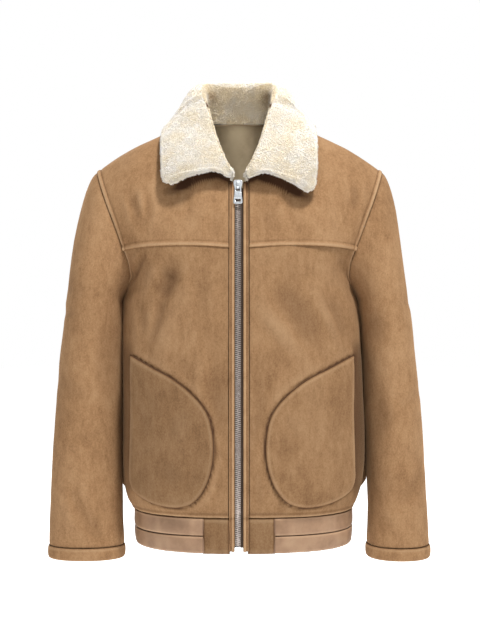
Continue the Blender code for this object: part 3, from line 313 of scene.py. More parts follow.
class Finish:
    def __init__(self, name, roughness, metallic=0.0):
        self.material = bpy.data.materials.new(name)
        self.material.use_nodes = True
        self.tree = self.material.node_tree
        self.shader = self.tree.nodes["Principled BSDF"]
        self.shader.inputs["Roughness"].default_value = roughness
        self.shader.inputs["Metallic"].default_value = metallic
        self.place = self.add("TexCoord").outputs["Object"]

    def add(self, kind, **values):
        node = self.tree.nodes.new("ShaderNode" + kind)
        for key, value in values.items():
            setattr(node, key, value)
        return node

    def link(self, start, end):
        self.tree.links.new(start, end)

    def noise(self, scale, detail=3.0, roughness=0.55, stretch=None):
        place = self.place
        if stretch:
            mapping = self.add("Mapping")
            mapping.inputs["Scale"].default_value = stretch
            self.link(place, mapping.inputs["Vector"])
            place = mapping.outputs["Vector"]
        node = self.add("TexNoise")
        node.inputs["Scale"].default_value = scale
        node.inputs["Detail"].default_value = detail
        node.inputs["Roughness"].default_value = roughness
        self.link(place, node.inputs["Vector"])
        return node.outputs["Fac"]

    def ramp(self, value, *stops):
        node = self.add("ValToRGB")
        ramp = node.color_ramp
        while len(ramp.elements) < len(stops):
            ramp.elements.new(0.5)
        for element, (at, colour) in zip(ramp.elements, stops):
            element.position = at
            element.color = (*colour, 1.0)
        self.link(value, node.inputs["Fac"])
        return node.outputs["Color"]

    def math(self, kind, first, second):
        node = self.add("Math", operation=kind)
        for socket, value in zip(node.inputs, (first, second)):
            if isinstance(value, (int, float)):
                socket.default_value = value
            else:
                self.link(value, socket)
        return node.outputs[0]

    def mix(self, share, first, second, kind="MIX"):
        node = self.add("Mix", data_type="RGBA", blend_type=kind)
        for socket, value in ((node.inputs[0], share), (node.inputs[6], first),
                              (node.inputs[7], second)):
            if isinstance(value, (int, float)):
                socket.default_value = value
            elif isinstance(value, tuple):
                socket.default_value = (*value, 1.0)
            else:
                self.link(value, socket)
        return node.outputs[2]

    def wearAndShade(self):
        return self.add("Attribute", attribute_name="wearAndShade").outputs["Fac"]

    def colour(self, value):
        self.link(value, self.shader.inputs["Base Color"])

    def bump(self, *layers):
        last = None
        for height, strength, distance in layers:
            node = self.add("Bump")
            node.inputs["Strength"].default_value = strength
            node.inputs["Distance"].default_value = distance
            self.link(height, node.inputs["Height"])
            if last:
                self.link(last, node.inputs["Normal"])
            last = node.outputs["Normal"]
        self.link(last, self.shader.inputs["Normal"])


def wearAndShadeColour(finish, base, dark, light):
    # wear and painted shade below 0 sink to the dark colour, above 0 rise to the pale one; painted light on ridges
    # rises too
    wearAndShade = finish.wearAndShade()
    sunk = finish.math("MINIMUM", finish.math("MULTIPLY", wearAndShade, -1.0), 1.0)
    sunk = finish.math("MAXIMUM", sunk, 0.0)
    pale = finish.math("MAXIMUM", finish.math("MINIMUM", wearAndShade, 1.0), 0.0)
    return finish.mix(pale, finish.mix(sunk, base, dark), light)


suedeLook = {
    "deep": linear(130, 94, 63), "mid": linear(168, 129, 91), "pale": linear(190, 152, 113),
    "seam": linear(66, 42, 27), "rubbed": linear(211, 175, 136),
    "roughness": 0.92, "sheen": 0.22, "sheenRoughness": 0.4, "sheenTint": linear(232, 190, 144),
    "patchScale": 9.0, "cloudScale": 64.0, "streakScale": 150.0, "napScale": 420.0,
    "grainScale": 1100.0,
}


def makeSuede(name, shade=1.0):
    look = suedeLook
    finish = Finish(name, look["roughness"])
    finish.shader.inputs["Sheen Weight"].default_value = look["sheen"]
    finish.shader.inputs["Sheen Roughness"].default_value = look["sheenRoughness"]
    finish.shader.inputs["Sheen Tint"].default_value = (*look["sheenTint"], 1.0)
    finish.shader.inputs["Specular IOR Level"].default_value = 0.12
    patches = finish.noise(look["patchScale"], 2.0, 0.5)
    clouds = finish.noise(look["cloudScale"], 4.0, 0.6, (1.0, 1.0, 0.6))
    streaks = finish.noise(look["streakScale"], 3.0, 0.6, (1.0, 1.0, 0.3))
    nap = finish.noise(look["napScale"], 4.0, 0.75, (1.0, 1.0, 0.75))
    grain = finish.noise(look["grainScale"], 2.0, 0.6)
    blend = 0.0
    for layer, weight in ((patches, 0.14), (clouds, 0.19), (streaks, 0.16), (nap, 0.35),
                          (grain, 0.16)):
        part = finish.math("MULTIPLY", layer, weight)
        blend = part if isinstance(blend, float) else finish.math("ADD", blend, part)
    deep, mid, pale = (tuple(v * shade for v in look[key]) for key in ("deep", "mid", "pale"))
    base = finish.ramp(blend, (0.36, deep), (0.5, mid), (0.64, pale))
    finish.colour(wearAndShadeColour(finish, base, look["seam"], tuple(v * shade for v in look["rubbed"])))
    finish.bump((clouds, 0.20, 0.0015), (nap, 0.5, 0.0007), (grain, 0.4, 0.0003))
    return finish.material


leatherLook = {
    "deep": linear(126, 97, 72), "mid": linear(144, 113, 87), "pale": linear(156, 126, 98),
    "seam": linear(78, 52, 36), "rubbed": linear(188, 154, 122), "roughness": 0.6,
    "patchScale": 26.0, "poreScale": 900.0, "creaseScale": 210.0,
}


def makeSmoothLeather(name, look):
    finish = Finish(name, look["roughness"])
    finish.shader.inputs["Specular IOR Level"].default_value = 0.35
    patches = finish.noise(look["patchScale"], 4.0, 0.6)
    pores = finish.add("TexVoronoi", feature="DISTANCE_TO_EDGE")
    pores.inputs["Scale"].default_value = look["poreScale"]
    finish.link(finish.place, pores.inputs["Vector"])
    creases = finish.noise(look["creaseScale"], 3.0, 0.6, (1.0, 1.0, 0.35))
    base = finish.ramp(patches, (0.32, look["deep"]), (0.5, look["mid"]), (0.7, look["pale"]))
    finish.colour(wearAndShadeColour(finish, base, look["seam"], look["rubbed"]))
    finish.bump((creases, 0.22, 0.0006), (pores.outputs["Distance"], 0.25, 0.0003))
    return finish.material


shearlingLook = {
    "root": linear(216, 201, 175), "mid": linear(233, 224, 208), "tip": linear(237, 231, 221),
    "cream": linear(250, 238, 210), "inside": (0.40, 0.28, 0.18), "roughness": 0.95, "sheen": 0.4,
}


def makeShearling(name):
    look = shearlingLook
    finish = Finish(name, look["roughness"])
    finish.shader.inputs["Sheen Weight"].default_value = look["sheen"]
    finish.shader.inputs["Sheen Roughness"].default_value = 0.5
    finish.shader.inputs["Specular IOR Level"].default_value = 0.1
    finish.shader.inputs["Subsurface Weight"].default_value = 0.25
    finish.shader.inputs["Subsurface Radius"].default_value = (0.006, 0.005, 0.003)
    finish.shader.inputs["Subsurface Scale"].default_value = 0.6
    clouds = finish.noise(34.0, 3.0, 0.6)
    length = finish.ramp(finish.wearAndShade(), (0.0, look["root"]), (0.45, look["mid"]),
                         (1.0, look["tip"]))
    tone = finish.ramp(clouds, (0.38, look["cream"]), (0.62, (1.0, 1.0, 1.0)))
    # a value below 0 multiplies towards the inside colour: the painted shade inside the stand
    sunk = finish.math("MAXIMUM", finish.math("MULTIPLY", finish.wearAndShade(), -1.0), 0.0)
    sunk = finish.math("MINIMUM", sunk, 1.4)
    pale = finish.mix(0.55, length, tone, "MULTIPLY")
    finish.colour(finish.mix(finish.math("MULTIPLY", sunk, 0.7), pale, look["inside"], "MULTIPLY"))
    finish.bump((finish.noise(900.0, 2.0, 0.6), 0.3, 0.0006))
    return finish.material


def makeMetal(name, base, pale, roughness, streak=320.0):
    finish = Finish(name, roughness, 1.0)
    marks = finish.noise(streak, 4.0, 0.65)
    finish.colour(finish.ramp(marks, (0.3, base), (0.7, pale)))
    finish.bump((finish.noise(1400.0, 2.0, 0.5), 0.12, 0.0002))
    return finish.material


def makeWovenTape(name):
    finish = Finish(name, 0.9)
    wave = finish.add("TexWave", wave_type="BANDS", bands_direction="DIAGONAL")
    wave.inputs["Scale"].default_value = 420.0
    wave.inputs["Distortion"].default_value = 1.2
    finish.link(finish.place, wave.inputs["Vector"])
    finish.colour(finish.ramp(wave.outputs["Fac"], (0.2, linear(52, 40, 33)),
                              (0.9, linear(92, 74, 60))))
    finish.bump((wave.outputs["Fac"], 0.5, 0.0004))
    return finish.material


def makeThread(name):
    finish = Finish(name, 0.8)
    twist = finish.noise(2600.0, 2.0, 0.6)
    finish.colour(finish.ramp(twist, (0.35, linear(126, 88, 58)), (0.7, linear(176, 134, 96))))
    finish.bump((twist, 0.4, 0.0002))
    return finish.material


liningLook = dict(leatherLook, deep=linear(176, 157, 126), mid=linear(192, 173, 140),
                  pale=linear(202, 184, 150), rubbed=linear(208, 190, 158),
                  seam=linear(110, 92, 68), roughness=0.9)
# the suede comes in lit and shaded copies: the fronts, the right pocket and the hem tabs get darker copies as
# painted shade, the left pocket a lighter copy than the right as painted light
suede = makeSuede("suede", 0.70)
shadedFrontSuede = makeSuede("suede_front", 0.63)
shadedPocketSuede = makeSuede("suede_low", 0.49)
litPocketSuede = makeSuede("suede_low_left", 0.59)
smoothLeather = makeSmoothLeather("smooth_leather", leatherLook)
liningLeather = makeSmoothLeather("neck_lining_leather", liningLook)
shearling = makeShearling("shearling")
zipMetal = makeMetal("zip_metal", linear(150, 138, 130), linear(206, 195, 188), 0.42)
sliderMetal = makeMetal("slider_metal", linear(214, 220, 226), linear(244, 248, 252), 0.26)
tapeCloth = makeWovenTape("zip_tape")
thread = makeThread("thread")
print("materials are made")


# Meshes from grids of points

def finishPiece(name, mesh, material, body="jacket"):
    mesh.materials.append(material)
    mesh.shade_smooth()
    piece = bpy.data.objects.new(name, mesh)
    bpy.context.scene.collection.objects.link(piece)
    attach(piece, body)
    return piece


def meshOf(name, points, faces, wearAndShade=None, turn=True):
    mesh = bpy.data.meshes.new(name)
    mesh.from_pydata((np.asarray(points) * mm).tolist(), [], faces)
    if turn:
        work = bmesh.new()
        work.from_mesh(mesh)
        bmesh.ops.recalc_face_normals(work, faces=work.faces[:])
        work.to_mesh(mesh)
        work.free()
    if wearAndShade is not None:
        layer = mesh.attributes.new("wearAndShade", "FLOAT", "POINT")
        layer.data.foreach_set("value", np.asarray(wearAndShade, np.float32).ravel())
    return mesh


def spaced(low, high, count, tight=0.6):
    # evenly from low to high, closer together at both ends
    s = np.linspace(0.0, 1.0, count)
    return low + (high - low) * ((1 - tight) * s + tight * s * s * (3 - 2 * s))


def gridNormals(points, outward, wrap=False):
    if wrap:
        across = np.roll(points, -1, axis=1) - np.roll(points, 1, axis=1)
    else:
        across = np.gradient(points, axis=1)
    normal = unit(np.cross(across, np.gradient(points, axis=0)))
    return normal if np.sum(normal * outward) > 0 else -normal


def fromEdge(points, axis, last):
    # how far each point of the grid is from one of its edges, along the cloth
    steps = np.linalg.norm(np.diff(points, axis=axis), axis=-1)
    if last:
        steps = np.flip(steps, axis)
    run = np.cumsum(steps, axis=axis)
    pad = [(0, 0), (0, 0)]
    pad[axis] = (1, 0)
    run = np.pad(run, pad)
    return np.flip(run, axis) if last else run


def shell(name, outer, outward, thick, material, wearAndShade=0.0, wrap=False, rounding=0.3, dark=-0.75,
          reach=0.8):
    # a closed sheet of cloth with rounded edges: its outer face is the grid
    rows, columns = outer.shape[:2]
    wearAndShade = np.broadcast_to(np.asarray(wearAndShade, float), (rows, columns)).copy()
    normal = gridNormals(outer, outward, wrap)
    inner = outer - normal * thick
    middle = (outer + inner) / 2
    top = outer.copy()
    bottom = inner.copy()

    def tuckIn(edge, neighbour):
        way = unit(outer[neighbour] - outer[edge])
        top[edge] += way * thick * rounding - normal[edge] * thick * 0.14
        middle[edge] -= way * reach

    tuckIn(np.s_[0, :], np.s_[1, :])
    tuckIn(np.s_[-1, :], np.s_[-2, :])
    if not wrap:
        tuckIn(np.s_[:, 0], np.s_[:, 1])
        tuckIn(np.s_[:, -1], np.s_[:, -2])
    side = 0 if wrap else 1
    wide = columns + 2 * side
    index = np.full((rows + 2, wide), -1)
    points, marks = [], []

    def put(block, mark):
        start = sum(len(p) for p in points)
        points.append(block.reshape(-1, 3))
        marks.append(np.broadcast_to(mark, block.shape[:-1]).ravel())
        return start + np.arange(block[..., 0].size).reshape(block.shape[:-1])

    core = (slice(1, -1), slice(side, wide - side))
    index[core] = put(top, wearAndShade)
    rimDark = np.minimum(wearAndShade, dark)
    index[0, core[1]] = put(middle[0], rimDark[0])
    index[-1, core[1]] = put(middle[-1], rimDark[-1])
    if not wrap:
        index[2:-2, 0] = put(middle[1:-1, 0], rimDark[1:-1, 0])
        index[2:-2, -1] = put(middle[1:-1, -1], rimDark[1:-1, -1])
        index[0, 0] = index[1, 0] = index[0, 1]
        index[0, -1] = index[1, -1] = index[0, -2]
        index[-1, 0] = index[-2, 0] = index[-1, 1]
        index[-1, -1] = index[-2, -1] = index[-1, -2]
    # the inner face is painted a little darker, as shade
    inside = put(bottom, np.minimum(wearAndShade, -0.25))
    faces = []

    def quads(a, b, c, d):
        for face in np.stack([a, b, c, d], -1).reshape(-1, 4).tolist():
            kept = [v for k, v in enumerate(face) if v != face[k - 1]]
            if len(set(kept)) > 2:
                faces.append(kept)

    def across(grid):
        return (grid, np.roll(grid, -1, axis=-1)) if wrap else (grid[..., :-1], grid[..., 1:])

    here, after = across(index)
    quads(here[:-1], after[:-1], after[1:], here[1:])
    here, after = across(inside)
    quads(here[1:], after[1:], after[:-1], here[:-1])
    for edge, row in ((0, 0), (-1, -1)):
        near, nearAfter = across(inside[row])
        far, farAfter = across(index[edge, core[1]])
        quads(near, nearAfter, farAfter, far)
    if not wrap:
        for edge, column in ((0, 0), (-1, -1)):
            rim = index[1:-1, edge]
            quads(inside[:-1, column], inside[1:, column], rim[1:], rim[:-1])
    mesh = meshOf(name, np.concatenate(points), faces, np.concatenate(marks))
    return finishPiece(name, mesh, material)


def welt(distance, width, rise, groove=0.7):
    # a raised seam edge that ends in a stitched groove
    top = rise * (1 - smooth(width - 1.2, width + 1.0, distance))
    return top - groove * np.exp(-(((distance - width - 0.9) / 1.1) ** 2))


def weltWear(distance, width):
    ridge = 0.55 * np.exp(-(((distance - width * 0.45) / (width * 0.42)) ** 2))
    return ridge - 0.6 * np.exp(-(((distance - width - 0.9) / 1.0) ** 2))


def strokeField(points, strokes):
    # soft creases along drawn lines of x and z: trough or ridge with a lip on both sides
    total = np.zeros(points.shape[:2])
    flat = points[..., [0, 2]]
    for width, depth, *path in strokes:
        path = np.array(path, float).reshape(-1, 2)
        lengths = np.linalg.norm(np.diff(path, axis=0), axis=1)
        starts = np.concatenate([[0.0], np.cumsum(lengths)])
        best = np.full(points.shape[:2], 1e9)
        where = np.zeros(points.shape[:2])
        for k, long in enumerate(lengths):
            way = (path[k + 1] - path[k]) / long
            run = np.clip((flat - path[k]) @ way, 0.0, long)
            off = np.linalg.norm(flat - path[k] - run[..., None] * way, axis=-1)
            nearer = off < best
            best = np.where(nearer, off, best)
            where = np.where(nearer, (starts[k] + run) / starts[-1], where)
        s = best / width
        shape = np.exp(-s * s) - 0.30 * np.exp(-(((s - 1.75) / 0.7) ** 2))
        ends = 0.25 + 0.75 * smooth(0.0, 0.3, where) * smooth(1.0, 0.65, where)
        fade = np.where((where > 0.001) & (where < 0.999), 1.0, np.exp(-s * s * 0.6))
        total += depth * shape * ends * fade
    return total


def clothWaves(points, seed, amount=1.0):
    # the slack of worn suede: broad swells, smaller dimples and a fine unevenness
    return amount * (
        1.3 * lattice(points * np.array([1.0, 1.0, 0.7]), 74.0, seed)
        + 0.55 * lattice(points * np.array([1.0, 1.0, 0.8]), 31.0, seed + 1)
        + 0.16 * lattice(points, 11.0, seed + 2)
    )


def pucker(points, distance, seed, amount=0.4, reach=9.0):
    return amount * lattice(points, 8.5, seed) * np.exp(-distance / reach)


# Body panels

frontStart = (cut["neckShare"] * (cut["edgeOutX"] - cut["edgeInX"])
              / (cut["neckHalf"] - cut["edgeInX"]))
nearEdge = (0.0, 0.8, 1.6, 2.6, 3.8, 5.0, 6.0, 6.8, 7.6, 8.6, 10.4)  # closer rows where seams lie


def stepsBetween(low, high, count, lowRate, highRate):
    near = low + np.array(nearEdge) * lowRate
    far = high - np.array(nearEdge)[::-1] * highRate
    return np.concatenate([near, np.linspace(near[-1], far[0], count)[1:-1], far])


panelValues = {
    "thick": 2.4, "columns": 44, "lowRows": 84, "highRows": 34,
    "weltWide": 6.0, "weltRise": 1.7, "lapRise": 1.9, "lapWide": 5.2, "lapOver": 1.6,
    "underLap": 0.5, "waves": 0.85, "deeper": 1.4,
}

# slack at the side seams, where the sleeves hang against the body
easeValues = {"sleeveShare": 0.28, "backSlack": 14.0, "clear": 4.0}
easeTables = {
    right: makeTable(("z", "ease"), (
        (-460.0, 1.0), (-420.0, 2.0), (-380.0, 3.2), (-340.0, 5.0), (-310.0, 7.0),
        (-295.0, 9.2), (-282.0, 6.5), (-268.0, 1.5), (-262.0, 0.0))),
    left: makeTable(("z", "ease"), (
        (-620.0, 0.0), (-590.0, 2.6), (-556.0, 4.0), (-500.0, 3.4), (-440.0, 2.4),
        (-380.0, 2.2), (-340.0, 3.4), (-310.0, 5.8), (-296.0, 7.6), (-282.0, 5.2),
        (-268.0, 1.0), (-262.0, 0.0))),
}


def sideEase(side, z, amount=1.0):
    return amount * read(easeTables[side], "ease", z)


def backSlack(side, points):
    # behind the side seams the back hangs out towards the sleeves
    x, y, z = np.abs(points[..., 0]), points[..., 1], points[..., 2]
    inner, outer, middleY, halfDepth = (read(sleeveTable[side], name, np.minimum(z, -304.0))
                                        for name in sleeveNames[1:])
    square = 2 / cut["sleeveSquareness"]
    deep = np.clip(np.abs(y - middleY) / halfDepth, 0.0, 1.0)
    sleeveX = (outer + inner) / 2 - (outer - inner) / 2 * (1 - deep**square) ** (1 / square)
    room = np.clip(sleeveX - easeValues["clear"] - x, 0.0, easeValues["backSlack"])
    place = smooth(-4.0, 14.0, y) * smooth(80.0, 50.0, y) * smooth(120.0, 150.0, x)
    return room * place * smooth(-274.0, -302.0, z) * smooth(-622.0, -592.0, z)


# creases as (half width, depth, x, z, x, z, ...) on the wearer's own left or right, depth below 0
creases = {
    (right, front): (
        (15.0, -4.8, -104.0, -250.0, -113.0, -280.0, -121.0, -304.0),
        (7.0, -3.6, -117.0, -292.0, -129.0, -338.0, -146.0, -384.0),
        (15.0, -2.6, -104.0, -246.0, -118.0, -276.0, -136.0, -300.0),
        (10.0, 1.6, -92.0, -300.0, -112.0, -352.0, -122.0, -384.0),
        (5.5, -4.0, -150.0, -226.0, -160.0, -246.0, -173.0, -272.0),
        (8.0, -1.6, -160.0, -300.0, -150.0, -352.0, -152.0, -388.0),
        (16.0, -2.8, -37.0, -380.0, -34.0, -460.0, -40.0, -534.0),
        (13.0, 1.2, -62.0, -380.0, -58.0, -430.0),
        (11.0, -1.5, -54.0, -262.0, -60.0, -340.0),
        (9.0, -1.3, -28.0, -560.0, -34.0, -622.0),
        (7.5, -4.4, -173.0, -130.0, -163.0, -158.0, -156.0, -186.0),
        (6.5, -3.8, -144.0, -134.0, -143.0, -160.0, -150.0, -194.0),
        (7.0, 1.5, -160.0, -122.0, -153.0, -162.0),
        (12.0, -1.4, -32.0, -150.0, -38.0, -196.0, -27.0, -212.0),
        (16.0, -1.4, -96.0, -130.0, -104.0, -180.0),
    ),
    (left, front): (
        (21.0, -4.4, 52.0, -262.0, 88.0, -312.0, 130.0, -380.0),
        (12.0, 2.0, 30.0, -310.0, 66.0, -352.0, 96.0, -392.0),
        (13.0, -3.4, 140.0, -290.0, 158.0, -332.0, 176.0, -372.0),
        (9.0, 1.8, 120.0, -290.0, 146.0, -340.0, 158.0, -366.0),
        (14.0, -2.0, 66.0, -240.0, 92.0, -262.0, 118.0, -270.0),
        (15.0, -2.2, 30.0, -402.0, 36.0, -470.0, 30.0, -540.0),
        (10.0, -1.4, 33.0, -556.0, 28.0, -620.0),
        (7.5, -4.2, 184.0, -112.0, 186.0, -140.0, 181.0, -160.0),
        (9.0, -1.6, 164.0, -150.0, 168.0, -196.0),
        (14.0, -1.3, 40.0, -156.0, 52.0, -196.0),
        (11.0, 1.2, 100.0, -156.0, 130.0, -204.0),
        (8.0, -1.8, 162.0, -232.0, 168.0, -268.0),
    ),
    (right, back): (
        (20.0, -4.4, -156.0, -228.0, -128.0, -280.0, -96.0, -336.0),
        (12.0, 1.8, -140.0, -206.0, -112.0, -262.0, -84.0, -300.0),
        (10.0, -2.0, -168.0, -268.0, -140.0, -330.0),
        (18.0, -2.8, -60.0, -500.0, -50.0, -560.0, -40.0, -618.0),
        (13.0, -1.8, -128.0, -520.0, -116.0, -600.0),
        (14.0, -1.6, -104.0, -120.0, -112.0, -190.0),
        (9.0, -2.2, -196.0, -130.0, -176.0, -180.0),
    ),
    (left, back): (
        (20.0, -4.2, 158.0, -238.0, 136.0, -290.0, 108.0, -356.0),
        (11.0, 1.7, 146.0, -214.0, 118.0, -270.0, 96.0, -296.0),
        (9.0, -2.0, 176.0, -262.0, 152.0, -322.0),
        (18.0, -2.8, 96.0, -490.0, 92.0, -550.0, 84.0, -612.0),
        (12.0, -1.8, 30.0, -540.0, 24.0, -612.0),
        (15.0, -1.7, 64.0, -130.0, 76.0, -200.0),
        (8.0, -2.0, 200.0, -124.0, 182.0, -168.0),
    ),
}


def lowerPoints(side, face, shares, steps):
    share, step = np.meshgrid(shares, steps)
    low = cut["hemSeamZ"]
    points = ringPoint(side, face, share, low + (seamHeight(face, share) - low) * step)
    points[..., 0] += side * sideEase(side, points[..., 2]) * smooth(0.84, 1.0, share)
    if face == back:
        points[..., 0] += side * backSlack(side, points)
    return points


def upperPoints(side, face, shares, rises):
    share, rise = np.meshgrid(shares, rises)
    return upperPoint(side, face, share, rise)


def seamDistance(points, side, face):
    # how far the cloth is from the armhole, and from the side seam under the armpit
    gap = fromEdge(points, 1, True)
    above = smooth(cut["armpitZ"] - 6, cut["armpitZ"] + 6, points[:, -1:, 2])
    return gap, above


def dressPanel(points, side, face, seed, keepFlat=None):
    # creases, waves and raised seams of one panel, as a height and a value of wear and painted shade
    value = panelValues
    gap, above = seamDistance(points, side, face)
    folds = panelValues["deeper"] * strokeField(points, creases[side, face])
    waves = clothWaves(points, seed, value["waves"])
    calm = smooth(1.0, 16.0, gap)
    if keepFlat is not None:
        folds, waves = folds * keepFlat, waves * keepFlat
    height = (folds + waves) * (0.25 + 0.75 * calm)
    raised = welt(gap, value["weltWide"], value["weltRise"], 0.9)
    height = height + raised * above - 0.8 * np.exp(-gap / 1.6) * (1 - above)
    # the 0.05 * folds term paints shade into the crease troughs and light onto their ridges
    wearAndShade = (weltWear(gap, value["weltWide"]) * above + 0.05 * folds
            + 0.10 * lattice(points, 46.0, seed + 5))
    wearAndShade = wearAndShade - 0.35 * np.exp(-gap / 1.4) * (1 - above)
    return height, wearAndShade


def outlineGap(side, points):
    # how far inside the pocket's outline a place is, below 0 outside
    outline = pocketOutline(side)
    flat = points[..., [0, 2]].reshape(-1, 2)
    after = np.roll(outline, -1, axis=0)
    best = np.full(len(flat), 1e9)
    inside = np.zeros(len(flat), bool)
    for a, b in zip(outline, after):
        way = b - a
        run = np.clip(((flat - a) @ way) / (way @ way), 0.0, 1.0)
        best = np.minimum(best, np.linalg.norm(flat - a - run[:, None] * way, axis=1))
        crosses = (a[1] > flat[:, 1]) != (b[1] > flat[:, 1])
        with np.errstate(divide="ignore", invalid="ignore"):
            at = a[0] + (flat[:, 1] - a[1]) * way[0] / way[1]
        inside ^= crosses & (flat[:, 0] < at)
    return np.where(inside, best, -best).reshape(points.shape[:-1])


pocketValues = {
    "reach": {right: 1.0, left: 1.06}, "thick": 3.0, "edgeRise": 2.4, "puff": 4.6,
    "crown": 2.4, "round": 3.4, "lip": 1.6, "around": 132, "seamIn": 5.5,
    "outline": ((169.5, -389.0), (159.0, -392.5), (129.0, -408.0), (97.0, -425.0), (66.0, -451.0),
                (46.0, -480.0), (38.5, -520.0), (41.0, -558.0), (52.0, -590.0),
                (70.0, -612.0), (96.0, -620.0), (128.0, -617.0), (156.0, -606.0),
                (169.0, -592.0), (170.0, -560.0), (168.0, -480.0),
                (169.5, -402.0)),
}


def closedCurve(spots, count):
    spots = np.array(spots, float)
    at = np.arange(count) * len(spots) / count
    i = at.astype(int)
    part = (at - i)[:, None]
    a, b, c, d = (spots[(i + n) % len(spots)] for n in (-1, 0, 1, 2))
    return hermite(b, c, (c - a) / 2, (d - b) / 2, part)


def pocketOutline(side):
    outline = closedCurve(pocketValues["outline"], pocketValues["around"])
    return outline * np.array([side * pocketValues["reach"][side], 1.0])


def lapRidge(gap, value):
    # the upper panel's turned edge, which lies over the one below
    ridge = value["lapRise"] * (1 - smooth(value["lapWide"] - 1.4, value["lapWide"] + 1.6, gap))
    return ridge - 0.5 * np.exp(-(((gap - value["lapWide"] - 1.6) / 1.0) ** 2))


def makeFront(side):
    value = panelValues
    shares = stepsBetween(frontStart, 1.0, value["columns"], 0.0058, 0.0030)
    steps = stepsBetween(0.0, 1.0, value["lowRows"], 1 / 417, 1 / 417)
    base = lowerPoints(side, front, shares, steps)
    inPocket = outlineGap(side, base)
    reach = pocketValues["reach"][side]
    flat = smooth(6.0, -8.0, inPocket)
    height, wearAndShade = dressPanel(base, side, front, 20 + side * 3, flat)
    top = fromEdge(base, 0, True)
    low = fromEdge(base, 0, False)
    zipGap = fromEdge(base, 1, False)
    height = height - value["underLap"] * np.exp(-top / 3.0) - 0.9 * smooth(0.0, 3.0, inPocket)
    height = height + 0.9 * np.exp(-(((low - 3.4) / 3.0) ** 2)) - 0.8 * np.exp(-low / 1.2)
    height = height + pucker(base, low, 41, 0.5, 16.0) - 0.6 * np.exp(-zipGap / 1.3)
    wearAndShade = wearAndShade - 0.55 * np.exp(-top / 1.6) - 0.3 * np.exp(-zipGap / 1.0)
    wearAndShade = (wearAndShade + 0.45 * np.exp(-(((low - 2.6) / 2.0) ** 2))
            - 0.35 * np.exp(-(((low - 7.4) / 2.2) ** 2)))
    wearAndShade = wearAndShade - 1.0 * np.exp(-(((inPocket + 0.6) / 1.9) ** 2))
    wearAndShade = wearAndShade + 0.12 * np.exp(-(((inPocket + 9.0) / 5.0) ** 2))
    # beyond the pocket's open side edge the front is painted dark as the shade there, more on the left side than
    # the right
    beside = smooth(165.0 * reach, 175.0 * reach, np.abs(base[..., 0]))
    beside = beside * smooth(-352.0, -392.0, base[..., 2]) * smooth(-622.0, -596.0, base[..., 2])
    wearAndShade = wearAndShade - (0.95 if side == left else 0.6) * beside
    normal = gridNormals(base, np.array([0.0, -1.0, 0.0]))
    outer = base + normal * height[..., None]
    # the fronts take the darker copy of the suede: painted shade
    piece = shell("frontPanel" + sideNames[side].title(), outer, (0.0, -1.0, 0.0),
                  value["thick"], shadedFrontSuede, wearAndShade)
    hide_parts("front_" + sideNames[side])
    return piece


# the collar's shadow on the yokes: a pressed line just below its edge, darkened with painted shadow, and the
# yoke's top edge, which reaches up and out under the collar's front end, darkened with painted shade
shadeValues = {"wide": 8.0, "deep": 1.25, "sink": 1.4, "dark": 1.5, "reach": 4.6, "out": 0.5,
               "edgeDark": 1.2}
collarLine = {
    right: (-18.0, -110.0, -34.0, -100.0, -57.0, -105.0, -79.0, -114.0, -95.0, -122.0,
            -112.0, -130.0),
    left: (18.0, -112.0, 30.0, -104.0, 50.0, -110.0, 76.0, -122.0, 92.0, -131.0, 112.0, -141.0),
}


def makeYoke(side):
    value = panelValues
    shares = stepsBetween(frontStart, 1.0, value["columns"], 0.0058, 0.0036)
    rises = stepsBetween(0.0, 1.0, value["highRows"], 1 / 150, 1 / 170)
    base = upperPoints(side, front, shares, rises)
    height, wearAndShade = dressPanel(base, side, front, 30 + side * 3)
    low = fromEdge(base, 0, False)
    top = fromEdge(base, 0, True)
    zipGap = fromEdge(base, 1, False)
    height = np.maximum(height, 0.0) * 0.6 + height * 0.4
    shade = shadeValues
    stroke = (shade["wide"], shade["deep"], *collarLine[side])
    # the shallow trough under the collar's edge is also painted darker: a painted shadow
    pressedAndShaded = np.clip(strokeField(base, (stroke,)), 0.0, 1.0)
    height, wearAndShade = height - shade["sink"] * pressedAndShaded, wearAndShade - shade["dark"] * pressedAndShaded
    height = height + lapRidge(low, value) - 0.7 * np.exp(-top / 1.5)
    height = height - 0.6 * np.exp(-zipGap / 1.3) + pucker(base, low, 47, 0.25, 10.0)
    wearAndShade = wearAndShade - 0.3 * np.exp(-zipGap / 1.0) - 0.45 * np.exp(-top / 1.3)
    wearAndShade = wearAndShade + 0.5 * np.exp(-(((low - 2.2) / 2.0) ** 2))
    wearAndShade = wearAndShade - 0.25 * np.exp(-(((low - value["lapWide"] - 1.6) / 1.2) ** 2))
    normal = gridNormals(base, np.array([0.0, -1.0, 0.2]))
    outer = base + normal * height[..., None]
    down = unit(base[0] - base[3])
    reach = value["lapOver"] * (1 - smooth(0.0, 7.0, low))
    outer = outer + down[None] * reach[..., None]
    # the top edge runs on under the collar's front end and is painted dark there, as its shade
    under = np.exp(-top / 4.0) * (1 - smooth(36.0, 52.0, np.abs(base[..., 0])))
    outer = outer + np.array([0.0, shade["out"], shade["reach"]]) * under[..., None]
    wearAndShade = wearAndShade - shade["edgeDark"] * under
    piece = shell("yokePanel" + sideNames[side].title(), outer, (0.0, -1.0, 0.2),
                  value["thick"], suede, wearAndShade)
    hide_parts("yoke_" + sideNames[side])
    return piece


